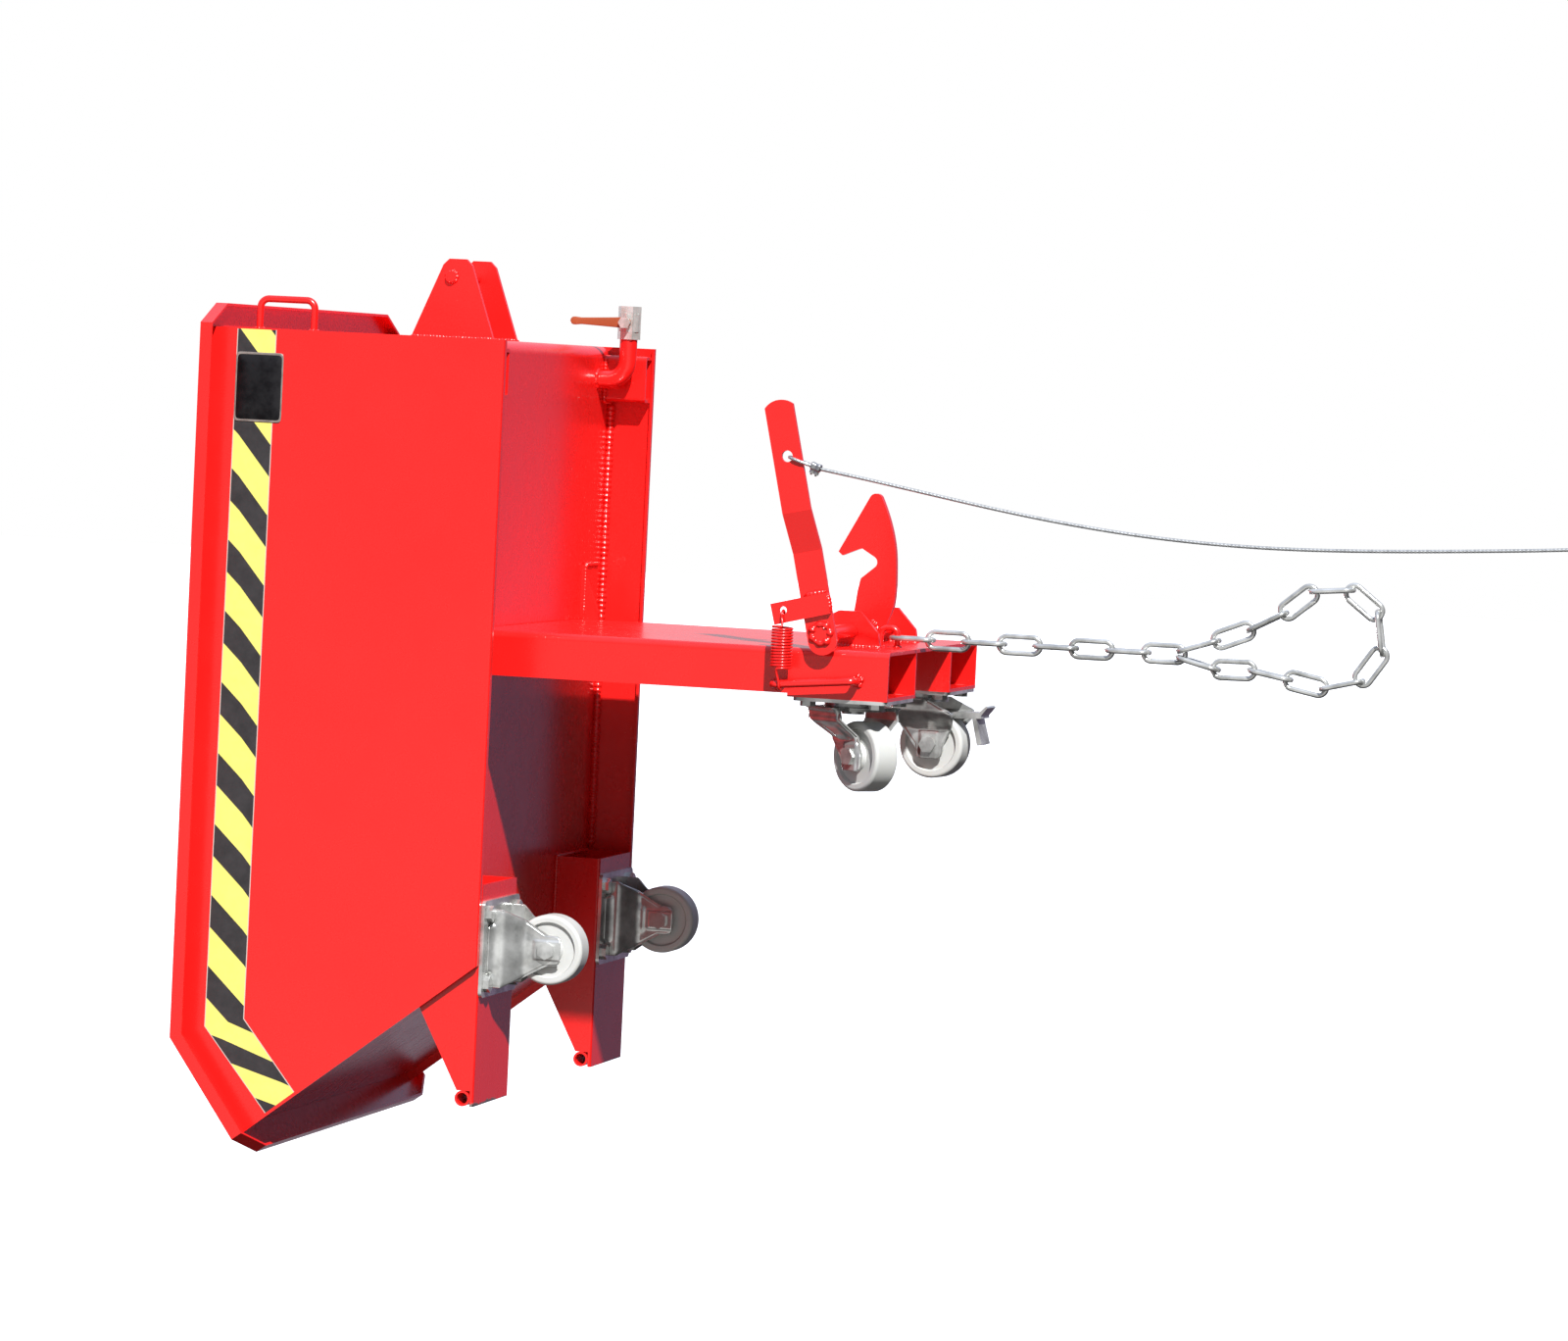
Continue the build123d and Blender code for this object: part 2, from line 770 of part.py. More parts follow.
def make_wheel(mount, trail, name):
    """A nylon wheel with recessed faces, turned about its axle, and its steel bush."""
    hub = Plane(
        origin=mount.from_local_coords((trail, 0, axle_depth)), x_dir=mount.y_dir, z_dir=mount.x_dir
    )
    half = wheel_width / 2
    inner = half - wheel_recess
    outer = half - wheel_face_set
    rim_r = wheel_d / 2 - wheel_rim
    spin = Axis(hub.origin, mount.y_dir)
    with BuildPart() as wheel:
        with BuildSketch(hub) as profile:
            with BuildLine():
                Polyline(
                    (-half, bush_d / 2 + weld_fit),
                    (half, bush_d / 2 + weld_fit),
                    (half, hub_d / 2),
                    (inner, hub_d / 2 + wheel_draft),
                    (inner, rim_r),
                    (outer, rim_r + wheel_draft),
                    (outer, wheel_d / 2),
                    (-outer, wheel_d / 2),
                    (-outer, rim_r + wheel_draft),
                    (-inner, rim_r),
                    (-inner, hub_d / 2 + wheel_draft),
                    (-half, hub_d / 2),
                    close=True,
                )
            make_face()
            fillet(profile.vertices().group_by(Axis.Y)[-1], radius=wheel_round)
        revolve(axis=spin)
    keep(wheel, f"wheel_{name}")
    with BuildPart() as bush:
        with BuildSketch(Plane(origin=hub.origin, z_dir=mount.y_dir)):
            Circle(bush_d / 2)
            Circle(axle_d / 2 + running, mode=Mode.SUBTRACT)
        extrude(amount=half + bush_overhang, both=True)
    keep(bush, f"bush_{name}")


def make_axles(mounts, trail, name):
    """Axle bolts across the brackets' legs, each with a hexagon head and a nut."""
    with BuildPart() as axles:
        for mount in mounts:
            centre = mount.from_local_coords((trail, 0, axle_depth))
            bolt = Plane(origin=centre, x_dir=mount.x_dir, z_dir=mount.y_dir)
            with BuildSketch(bolt.offset(-leg_outer - axle_head_height)):
                Circle(axle_d / 2)
            extrude(amount=2 * (leg_outer + axle_head_height))
            for start in (-leg_outer - axle_head_height, leg_outer):
                with BuildSketch(bolt.offset(start)):
                    RegularPolygon(axle_head / 2, 6, major_radius=False)
                extrude(amount=axle_head_height)
    keep(axles, name)


def make_plate_bolts(mounts, grip, name):
    """Four bolts up through each caster's plate into its seat, with hexagon heads below."""
    with BuildPart() as bolts:
        for mount in mounts:
            with BuildSketch(mount.offset(-grip)):
                with GridLocations(bolt_pitch_length, bolt_pitch_width, 2, 2):
                    Circle(plate_bolt_d / 2)
            extrude(amount=grip + caster_plate)
            with BuildSketch(mount.offset(caster_plate)):
                with GridLocations(bolt_pitch_length, bolt_pitch_width, 2, 2):
                    RegularPolygon(plate_bolt_head / 2, 6, major_radius=False)
            extrude(amount=plate_bolt_head_height)
    keep(bolts, name)


# Rigid casters on the feet
rigid_mounts = {
    "near": hopper_under(rigid_station, skirt_v, -foot_centre),
    "far": hopper_under(rigid_station, skirt_v, foot_centre),
}
for name, mount in rigid_mounts.items():
    with BuildPart() as rigid_bracket:
        with BuildSketch(caster_section(mount, -leg_root_length / 2)):
            legs_sketch(caster_plate)
        extrude(amount=leg_root_length)
        with BuildSketch(caster_view(mount, 0)):
            leg_outline(caster_plate, leg_root_length, 0)
        extrude(amount=caster_plate_width / 2, both=True, mode=Mode.INTERSECT)
        with BuildSketch(mount):
            plate_sketch()
        extrude(amount=caster_plate)
        with BuildSketch(caster_view(mount, 0)):
            with Locations((0, axle_depth)):
                Circle(axle_d / 2 + weld_fit)
        extrude(amount=caster_plate_width / 2, both=True, mode=Mode.SUBTRACT)
    keep(rigid_bracket, f"rigid_bracket_{name}")
    make_wheel(mount, 0, f"rigid_{name}")

make_axles(rigid_mounts.values(), 0, "rigid_axles")
make_plate_bolts(rigid_mounts.values(), foot_sheet, "rigid_bolts")

# Swivel casters under the rear of the frame
crown_top = caster_plate + race_height + face_gap
swivel_mounts = {
    "near": Plane(origin=(swivel_x, -swivel_y, seat_bottom), x_dir=(1, 0, 0), z_dir=(0, 0, -1)),
    "far": Plane(origin=(swivel_x, swivel_y, seat_bottom), x_dir=(1, 0, 0), z_dir=(0, 0, -1)),
}
swivel_angles = {"near": near_swivel, "far": far_swivel}
pedal_pins = {"near": (), "far": ((pedal_pin_trail, pedal_pin_depth),)}
make_plate_bolts(swivel_mounts.values(), frame_sheet, "swivel_bolts")

with BuildPart() as swivel_races:
    for mount in swivel_mounts.values():
        with BuildSketch(mount.offset(caster_plate)):
            Circle(race_d / 2)
            Circle(king_pin_d, mode=Mode.SUBTRACT)
        extrude(amount=race_height)
keep(swivel_races, "swivel_races")

with BuildPart() as king_pins:
    for mount in swivel_mounts.values():
        with BuildSketch(mount.offset(caster_plate)):
            Circle(king_pin_d / 2)
        extrude(amount=race_height + 2 * face_gap + crown_sheet)
        with BuildSketch(mount.offset(crown_top + crown_sheet + face_gap)):
            Circle(king_pin_head_d / 2)
        extrude(amount=king_pin_head)
keep(king_pins, "king_pins")

for name, mount in swivel_mounts.items():
    with BuildPart() as swivel_plate:
        with BuildSketch(mount):
            plate_sketch()
        extrude(amount=caster_plate)
    keep(swivel_plate, f"swivel_plate_{name}")

    turned = mount.rotated((0, 0, swivel_angles[name]))
    with BuildPart() as swivel_fork:
        with BuildSketch(caster_section(turned, -crown_d / 2)):
            legs_sketch(crown_top)
        extrude(amount=crown_d + swivel_trail)
        with BuildSketch(caster_view(turned, 0)):
            leg_outline(crown_top, crown_root, swivel_trail, pedal_pins[name])
        extrude(amount=caster_plate_width / 2, both=True, mode=Mode.INTERSECT)
        with BuildSketch(turned.offset(crown_top)):
            Circle(crown_d / 2)
            Rectangle(crown_root, 2 * (leg_spread + leg_sheet))
        extrude(amount=crown_sheet)
        with BuildSketch(turned.offset(crown_top)):
            Circle(king_pin_d / 2 + running)
        extrude(amount=crown_sheet, mode=Mode.SUBTRACT)
        with BuildSketch(caster_view(turned, 0)):
            with Locations((swivel_trail, axle_depth)):
                Circle(axle_d / 2 + weld_fit)
            for pin in pedal_pins[name]:
                with Locations(pin):
                    Circle(pedal_pin_d / 2 + weld_fit)
        extrude(amount=caster_plate_width / 2, both=True, mode=Mode.SUBTRACT)
    keep(swivel_fork, f"swivel_fork_{name}")
    make_axles([turned], swivel_trail, f"swivel_axle_{name}")
    make_wheel(turned, swivel_trail, f"swivel_{name}")

# Brake pedal: an arm behind the wheel with a tread that turns up and a flap that hangs down
pedal_mount = swivel_mounts["far"].rotated((0, 0, far_swivel))
with BuildPart() as brake_pedal:
    with BuildSketch(caster_view(pedal_mount, pedal_width / 2)):
        with Locations((pedal_pin_trail, pedal_pin_depth)):
            Circle(pedal_boss_d / 2)
            Polygon(*pedal_arm, align=None)
            Polygon(*pedal_tread, align=None)
            Polygon(*pedal_flap, align=None)
            Circle(pedal_pin_d / 2 + running, mode=Mode.SUBTRACT)
    extrude(amount=pedal_width)
keep(brake_pedal, "brake_pedal")

pedal_pin_half = leg_spread - leg_sheet
with BuildPart() as pedal_pin:
    with BuildSketch(caster_view(pedal_mount, pedal_pin_half)):
        with Locations((pedal_pin_trail, pedal_pin_depth)):
            Circle(pedal_pin_d / 2)
    extrude(amount=2 * pedal_pin_half)
keep(pedal_pin, "pedal_pin")

# Latch: the hook's outline is set about the pin's place once the hopper stands upright again
held_x = hinge_x - catch_u
held_z = hinge_z + catch_v
latch_x = held_x + catch_ahead
latch_z = frame_sheet + latch_height
shaft_r = latch_shaft_d / 2
shaft_x = latch_x - held_x
shaft_z = latch_z - held_z
notch_r = catch_pin_d / 2 + catch_gap
notch_start = on_line((0, 0), notch_low, notch_r)
notch_end = on_line((0, 0), notch_high, notch_r)


def latch_side(y):
    """The latch's side view at y: local x to the rear, local y up, normal to the near side."""
    return Plane(origin=(latch_x, y, latch_z), x_dir=(1, 0, 0), z_dir=(0, -1, 0))


with BuildPart() as latch_hook:
    with BuildSketch(Plane(origin=(held_x, hook_thickness / 2, held_z), x_dir=(1, 0, 0), z_dir=(0, -1, 0))):
        with BuildLine():
            Spline(*hook_back)
            Polyline(
                hook_back[-1],
                (shaft_x + hook_boss, shaft_z),
                (shaft_x - hook_boss, shaft_z),
                *hook_front,
                notch_start,
            )
            ThreePointArc(notch_start, (notch_r, 0), notch_end)
            Polyline(notch_end, *hook_beak)
            ThreePointArc(hook_beak[-1], hook_tip, hook_back[0])
        make_face()
        with Locations((shaft_x, shaft_z)):
            Circle(hook_boss)
            Circle(shaft_r + weld_fit, mode=Mode.SUBTRACT)
    extrude(amount=hook_thickness)
keep(latch_hook, "latch_hook")

lever_y = -half_frame - lever_gap
shaft_near = lever_y - lever_thickness - latch_shaft_near_overhang
shaft_far = latch_bracket_pitch / 2 + latch_bracket / 2 + latch_shaft_far_overhang
with BuildPart() as latch_shaft:
    with BuildSketch(latch_side(shaft_far)):
        Circle(shaft_r)
    extrude(amount=shaft_far - shaft_near)
keep(latch_shaft, "latch_shaft")

# Lever: a flat bar with a crank, cut to its outline
lever_lean = math.radians(lever_angle)
lever_up = Vector(-math.sin(lever_lean), 0, math.cos(lever_lean))
lever_right = Vector(math.cos(lever_lean), 0, math.sin(lever_lean))
lever_foot = Vector(latch_x, lever_y, latch_z)
lever_edge = Plane(
    origin=lever_foot - lever_right * (lever_width / 2), x_dir=(0, -1, 0), z_dir=lever_right
)
lever_face = Plane(origin=lever_foot, x_dir=lever_right, z_dir=(0, -1, 0))
lever_half = lever_width / 2
lever_shoulder = lever_length - lever_crown
crank_outer = lever_crank + lever_thickness
edge_up = 1 if lever_edge.y_dir.Z > 0 else -1
with BuildPart() as latch_lever:
    with BuildSketch(lever_edge):
        with BuildLine():
            Polyline(
                (0, -edge_up * (lever_drop + lever_half)),
                (0, edge_up * (lever_crank_start + lever_thickness / 3)),
                (lever_crank, edge_up * lever_crank_end),
                (lever_crank, edge_up * lever_length),
                (crank_outer, edge_up * lever_length),
                (crank_outer, edge_up * (lever_crank_end - lever_thickness / 3)),
                (lever_thickness, edge_up * lever_crank_start),
                (lever_thickness, -edge_up * (lever_drop + lever_half)),
                close=True,
            )
        make_face()
    extrude(amount=lever_width)
    with BuildSketch(lever_face):
        with BuildLine():
            Line((-lever_half, -lever_drop), (-lever_half, lever_shoulder))
            ThreePointArc((-lever_half, lever_shoulder), (0, lever_length), (lever_half, lever_shoulder))
            Line((lever_half, lever_shoulder), (lever_half, -lever_drop))
            ThreePointArc((lever_half, -lever_drop), (0, -lever_drop - lever_half), (-lever_half, -lever_drop))
        make_face()
        Circle(shaft_r + weld_fit, mode=Mode.SUBTRACT)
        with Locations((0, lever_eye_reach)):
            Circle(lever_eye_d / 2, mode=Mode.SUBTRACT)
    extrude(amount=crank_outer, mode=Mode.INTERSECT)
keep(latch_lever, "latch_lever")

# Tab that the spring pulls on, welded to the lever's face
tab_y = lever_y - lever_thickness
tab_plane = latch_side(tab_y)
with BuildPart() as spring_tab:
    with BuildSketch(tab_plane):
        with Locations(Location((0, tab_rise, 0), (0, 0, tab_angle))):
            with Locations((-tab_length / 2 + lever_width / 4, 0)):
                Rectangle(tab_length, tab_width)
            with Locations((lever_width / 4 - tab_length + tab_hole_inset, tab_hole_edge - tab_width / 2)):
                Circle(tab_hole_d / 2, mode=Mode.SUBTRACT)
    extrude(amount=tab_thickness)
keep(spring_tab, "spring_tab")

# Brackets that carry the shaft
with BuildPart() as latch_brackets:
    for side in (-1, 1):
        with BuildSketch(frame_side(side * latch_bracket_pitch / 2 + latch_bracket / 2)):
            with BuildLine():
                Polyline(
                    *[(latch_x + x, frame_sheet + z) for x, z in bracket_outline],
                    close=True,
                )
            make_face()
            with Locations((latch_x, latch_z)):
                Circle(shaft_r + running, mode=Mode.SUBTRACT)
        extrude(amount=latch_bracket)
keep(latch_brackets, "latch_brackets")

# Rod that the spring's lower hook goes round, rising a little and bent in to the frame's side
hole_p, hole_q = on_line(
    on_line((0, tab_rise), tab_angle, lever_width / 4 - tab_length + tab_hole_inset),
    tab_angle + 90,
    tab_hole_edge - tab_width / 2,
)
spring_x = latch_x + hole_p
hole_z = latch_z + hole_q
spring_y = tab_y - tab_thickness / 2
rod_z = frame_sheet - rod_drop
rod_way = on_line((0, 0), rod_rise, 1.0)
rod_plane = Plane(
    origin=(spring_x, 0, rod_z), x_dir=(rod_way[0], 0, rod_way[1]), z_dir=(-rod_way[1], 0, rod_way[0])
)
with BuildPart() as spring_rod:
    with BuildLine(rod_plane) as rod_path:
        FilletPolyline(
            (-rod_lead, -half_frame),
            (-rod_lead, spring_y),
            (rod_length - rod_lead, spring_y),
            (rod_length - rod_lead, -half_frame),
            radius=rod_bend,
        )
    with BuildSketch(rod_path.line ^ 0):
        Circle(rod_d / 2)
    sweep()
keep(spring_rod, "spring_rod")

# Tension spring: one wire, wound close, with a hook at each end. The turns are biarcs between
# points of the helix a quarter turn apart.
coil_r = (spring_d - spring_wire) / 2
coil_height = spring_turns * spring_pitch
coil_low = (hole_z + rod_z - coil_height) / 2


def helix_point(turn):
    """A point of the coil and its direction, at a number of turns up from its foot."""
    angle = 2 * math.pi * turn
    rise = spring_pitch / (2 * math.pi)
    place = Vector(
        spring_x + coil_r * math.sin(angle),
        spring_y - coil_r * math.cos(angle),
        coil_low + spring_pitch * turn,
    )
    way = Vector(coil_r * math.cos(angle), coil_r * math.sin(angle), rise).normalized()
    return place, way


def hook_point(centre_z, angle):
    """A point of a hook's round in the plane across the rod, and its direction."""
    turn = math.radians(angle)
    place = Vector(
        spring_x,
        spring_y + spring_hook_radius * math.cos(turn),
        centre_z + spring_hook_radius * math.sin(turn),
    )
    return place, Vector(0, -math.sin(turn), math.cos(turn))


def biarc(start, end):
    """Where two tangent arcs from one point and direction to the next join, and their way there."""
    (p, s), (q, t) = start, end
    v = q - p
    both = s + t
    c = 1 - s.dot(t)
    b = v.dot(both)
    if c < 1e-9:
        reach = v.dot(v) / (2 * b)
    else:
        reach = (math.sqrt(b * b + 2 * c * v.dot(v)) - b) / (2 * c)
    first, second = p + s * reach, q - t * reach
    return (first + second) * 0.5, (second - first).normalized()


upper_hook = hole_z - spring_hook_radius
lower_hook = rod_z
stations = [hook_point(lower_hook, angle) for angle in (60, -30, -90, -180)]
stations = [(place, way * -1) for place, way in stations]
stations += [helix_point(quarter / 4) for quarter in range(spring_turns * 4 + 1)]
stations += [hook_point(upper_hook, angle) for angle in (180, 90, 0, -15)]
stations[-4:] = [(place, way * -1) for place, way in stations[-4:]]
with BuildPart() as latch_spring:
    with BuildLine() as spring_path:
        for start, end in zip(stations, stations[1:]):
            middle, way = biarc(start, end)
            TangentArc(start[0], middle, tangent=start[1])
            TangentArc(middle, end[0], tangent=way)
    with BuildSketch(Plane(origin=stations[0][0], z_dir=stations[0][1])):
        Circle(spring_wire / 2)
    sweep()
keep(latch_spring, "latch_spring")

spring_line = spring_path.wire()
wire_points = [spring_line @ (count / spring_samples) for count in range(spring_samples + 1)]
wire_step = spring_line.length / spring_samples
apart = math.ceil(spring_d / wire_step)
wire_gap = min(
    (first - second).length - spring_wire
    for count, first in enumerate(wire_points)
    for second in wire_points[count + apart:]
)
print("latch_spring least gap between turns", round(wire_gap, 2))

# Chain eye on the roof, one bent bar
eye_x = latch_x + eye_behind_shaft
with BuildPart() as chain_eye:
    with BuildLine(frame_side(eye_y)) as eye_path:
        FilletPolyline(
            (eye_x - eye_span / 2, frame_sheet),
            (eye_x - eye_span / 2, frame_sheet + eye_height),
            (eye_x + eye_span / 2, frame_sheet + eye_height),
            (eye_x + eye_span / 2, frame_sheet),
            radius=eye_bend,
        )
    with BuildSketch(eye_path.line ^ 0):
        Circle(eye_bar_d / 2)
    sweep()
keep(chain_eye, "chain_eye")

# Safety chain: a straight run from the eye, then a closed loop. A joint is where two links cross,
# and each link reaches a little beyond its joints.
bow_r = (link_inner_width + link_wire) / 2
bow_reach = (link_play + link_wire) / 2
link_half = (chain_pitch + link_play - link_inner_width) / 2
chain_z = frame_sheet + chain_lie
chain_start = eye_x + (eye_span - eye_bar_d - link_wire) / 2 - face_gap + bow_reach
run_joints = [(chain_start + count * chain_pitch, chain_z) for count in range(chain_run_links + 1)]

# Both ends of the loop sit one above the other in the last link's bow
nest = (link_wire + nest_gap) / 2
nest_room = (link_inner_width - link_wire) / 2
nest_x = run_joints[-1][0] - chain_pitch / 2 + link_half + math.sqrt(nest_room**2 - nest**2) - face_gap
loop_joints = [on_line((nest_x, chain_z + nest), loop_headings[0], bow_reach)]
for heading in loop_headings:
    loop_joints.append(on_line(loop_joints[-1], heading, chain_pitch))
loop_end = on_line((nest_x, chain_z - nest), -loop_return, bow_reach)
gap_x = loop_end[0] - loop_joints[-1][0]
gap_z = loop_end[1] - loop_joints[-1][1]
way_back = math.degrees(math.atan2(gap_z, gap_x))
sag = math.degrees(math.acos(math.hypot(gap_x, gap_z) / (2 * chain_pitch)))
loop_joints += [on_line(loop_joints[-1], way_back + sag, chain_pitch), loop_end]

with BuildPart() as link:
    with BuildSketch(Plane.YZ):
        with Locations((-bow_r, 0), (bow_r, 0)):
            Circle(link_wire / 2)
    extrude(amount=link_half, both=True)
    for end in (-1, 1):
        with BuildSketch(Plane.YZ.offset(end * link_half)):
            with Locations((-bow_r, 0)):
                Circle(link_wire / 2)
        revolve(axis=Axis((end * link_half, 0, 0), (0, 0, end)), revolution_arc=180)

spans = list(zip(run_joints, run_joints[1:])) + list(zip(loop_joints, loop_joints[1:]))
with BuildPart() as chain:
    for count, (start, end) in enumerate(spans):
        way = Vector(end[0] - start[0], 0, end[1] - start[1])
        middle = ((start[0] + end[0]) / 2, eye_y, (start[1] + end[1]) / 2)
        face = (-way.Z, 0, way.X) if count % 2 == 0 else (0, -1, 0)
        with Locations(Plane(origin=middle, x_dir=way, z_dir=face).location):
            add(link.part)
keep(chain, "chain")


def cord_radii(points):
    """The largest arcs that a cord's runs allow, one for each corner."""
    radii = []
    for before, corner, after in zip(points, points[1:], points[2:]):
        first = Vector(corner) - Vector(before)
        second = Vector(after) - Vector(corner)
        turn = math.radians(first.get_angle(second))
        radii.append(rope_bend_share * min(first.length, second.length) / math.tan(turn / 2))
    return radii


def make_cord(plane, points, name):
    """A rope's tube along points on a plane, with its radii printed and its volume compared."""
    radii = cord_radii(points)
    with BuildPart() as cord:
        with BuildLine(plane) as route:
            FilletPolyline(*points, radius=radii)
        with BuildSketch(route.line ^ 0):
            Circle(rope_d / 2)
        sweep()
    length = route.wire().length
    tube = math.pi * rope_d**2 / 4 * length
    print(name, "length", round(length, 1), "radii", [round(radius, 1) for radius in radii])
    print(name, "volume over section times length", round(cord.part.volume / tube, 4))
    keep(cord, name)


# Pull rope: an eye through the lever, a clip, the rope itself, and a ferrule and loop at its end
rope_y = lever_y - lever_crank - lever_thickness / 2
rope_way = Vector(math.cos(math.radians(rope_fall)), 0, -math.sin(math.radians(rope_fall)))
lever_eye = lever_foot + lever_up * lever_eye_reach
eye_plane = Plane(
    origin=(lever_eye.X, rope_y, lever_eye.Z), x_dir=rope_way, z_dir=(-rope_way.Z, 0, rope_way.X)
)
strand = rope_strands / 2
eye_side = lever_thickness / 2 + rope_gap + rope_d / 2
make_cord(
    eye_plane,
    (
        (rope_eye_length, strand),
        (rope_eye_neck, eye_side),
        (rope_eye_set, eye_side),
        (rope_eye_set, -eye_side),
        (rope_eye_neck, -eye_side),
        (rope_eye_length, -strand),
    ),
    "rope_eye",
)

rope_start = lever_eye + rope_way * (rope_eye_length + clip_length)
rope_points = ((rope_start.X, rope_start.Z), *rope_route)
print("pull_rope starts at", round(rope_start.X, 2), round(rope_start.Z, 2), "in the plane y", rope_y)
make_cord(frame_side(rope_y), rope_points, "pull_rope")

rope_end = Vector(rope_route[-1][0], rope_y, rope_route[-1][1])
end_step = Vector(*rope_route[-1]) - Vector(*rope_route[-2])
end_way = Vector(end_step.X, 0, end_step.Y).normalized()
loop_plane = Plane(origin=rope_end + end_way * ferrule_length, x_dir=end_way, z_dir=(0, -1, 0))
make_cord(loop_plane, ((0, strand), *loop_outline, (0, -strand)), "rope_loop")

clip_start = eye_plane.from_local_coords((rope_eye_length, 0, 0))
with BuildPart() as rope_ferrules:
    with BuildSketch(Plane(origin=clip_start, x_dir=(0, 1, 0), z_dir=rope_way)):
        with Locations((0, (clip_above - clip_below) / 2)):
            RectangleRounded(clip_width, clip_above + clip_below, clip_round)
    extrude(amount=clip_length)
    with BuildSketch(Plane(origin=rope_end, x_dir=loop_plane.y_dir, z_dir=end_way)):
        SlotCenterToCenter(rope_strands, rope_d + 2 * ferrule_wall)
    extrude(amount=ferrule_length)
keep(rope_ferrules, "rope_ferrules")
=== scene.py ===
"""Looks of the tipping hopper: red enamel, plated casters, hazard tape, weld beads, spring and pull rope.

The frame is the part's own: x to the rear, y to the far side, z up, with the hopper tipped forward. Sizes are
written in millimetres, and make_piece turns them into Blender's metres.
"""
import json
import math

import bpy
import numpy as np
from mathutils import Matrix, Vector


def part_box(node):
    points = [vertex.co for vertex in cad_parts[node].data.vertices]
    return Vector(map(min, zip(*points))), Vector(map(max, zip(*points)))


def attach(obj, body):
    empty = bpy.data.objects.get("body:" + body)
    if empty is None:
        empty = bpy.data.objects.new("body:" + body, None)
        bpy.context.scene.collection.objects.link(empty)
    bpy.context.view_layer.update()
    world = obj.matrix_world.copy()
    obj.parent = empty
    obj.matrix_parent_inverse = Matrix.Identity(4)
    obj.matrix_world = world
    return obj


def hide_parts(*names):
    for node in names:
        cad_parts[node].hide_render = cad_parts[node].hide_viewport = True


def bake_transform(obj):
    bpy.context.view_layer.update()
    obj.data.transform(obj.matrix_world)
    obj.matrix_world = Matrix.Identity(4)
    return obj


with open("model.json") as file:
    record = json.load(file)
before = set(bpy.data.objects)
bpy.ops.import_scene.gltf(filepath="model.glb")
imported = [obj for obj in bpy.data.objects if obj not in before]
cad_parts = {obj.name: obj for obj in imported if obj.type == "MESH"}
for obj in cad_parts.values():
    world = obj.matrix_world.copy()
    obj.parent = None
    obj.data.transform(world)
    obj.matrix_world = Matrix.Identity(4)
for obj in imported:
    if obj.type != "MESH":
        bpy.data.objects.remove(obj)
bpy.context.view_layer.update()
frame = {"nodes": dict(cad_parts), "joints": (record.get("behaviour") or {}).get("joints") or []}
nodes = frame["nodes"]
joints = {joint["name"]: joint for joint in frame["joints"]}
MM = 0.001
FULL_TURN = 2 * math.pi
SIDEWAYS = np.array([0.0, 1.0, 0.0])
UP = np.array([0.0, 0.0, 1.0])
REARWARD = np.array([1.0, 0.0, 0.0])
SIDES = ((-1, "near"), (1, "far"))

# Camera, as it stood: a long lens, a little to the rear of the near side and a little above the frame
camera_data = bpy.data.cameras.new("camera")
camera_data.lens = 141.75
camera_data.sensor_width = 36.0
camera_data.sensor_fit = "HORIZONTAL"
camera = bpy.data.objects.new("camera", camera_data)
camera.location = (1.6070, -6.9608, 0.3018)
camera.rotation_euler = (math.radians(87.326), math.radians(-2.746), math.radians(14.515))
bpy.context.scene.collection.objects.link(camera)
bpy.context.scene.camera = camera


# Places that the frame gives


def box_mm(node):
    """A node's lowest and highest corners, in millimetres."""
    low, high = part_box(node)
    return np.array(low) / MM, np.array(high) / MM


def joint_mm(name):
    """A joint's place, in millimetres."""
    return np.array(joints[name]["pos_m"]) / MM


# Surfaces


def make_piece(name, points, faces, material, smooth=True, uv=None):
    """A mesh object at the origin from points in millimetres and a list of faces, with a UV pair a point."""
    mesh = bpy.data.meshes.new(name)
    mesh.from_pydata((np.asarray(points, float) * MM).reshape(-1, 3).tolist(), [], faces)
    if uv is not None:
        corner = np.zeros(len(mesh.loops), np.int32)
        mesh.loops.foreach_get("vertex_index", corner)
        layer = mesh.uv_layers.new(name="UVMap")
        layer.data.foreach_set("uv", np.asarray(uv, np.float32).reshape(-1, 2)[corner].ravel())
    mesh.polygons.foreach_set("use_smooth", np.full(len(mesh.polygons), smooth))
    mesh.materials.append(material)
    mesh.update()
    piece = bpy.data.objects.new(name, mesh)
    bpy.context.scene.collection.objects.link(piece)
    return piece


def ring_faces(count, around, closed=False):
    """Quads between each ring of points and the next, with a cap on both ends or the ends joined."""
    along = np.arange(count if closed else count - 1)[:, None]
    side = np.arange(around)[None, :]
    next_along = (along + 1) % count
    next_side = (side + 1) % around
    corners = (
        along * around + side, along * around + next_side,
        next_along * around + next_side, next_along * around + side,
    )
    faces = np.stack([corner.ravel() for corner in corners], 1).tolist()
    if not closed:
        faces.append(list(range(around))[::-1])
        faces.append(list(range((count - 1) * around, count * around)))
    return faces


def turn_angles(count):
    """Angles spaced evenly round one turn, without the last, which is the first again."""
    return np.linspace(0, FULL_TURN, count, endpoint=False)


def squarish(angle, wide_power, deep_power):
    """A squarish superellipse of half-size one: the cosine and the sine, each with its size to a power."""
    cos = np.cos(angle)
    sin = np.sin(angle)
    return np.sign(cos) * np.abs(cos) ** wide_power, np.sign(sin) * np.abs(sin) ** deep_power


def bell(x, middle, width):
    """A smooth bump of height one: the exponential of minus the distance over the width, squared."""
    return np.exp(-(((x - middle) / width) ** 2))


def smooth_rise(x, start, over):
    """Nought up to the start, one from start plus over, and three squares less two cubes between."""
    share = np.clip((x - start) / over, 0, 1)
    return share * share * (3 - 2 * share)


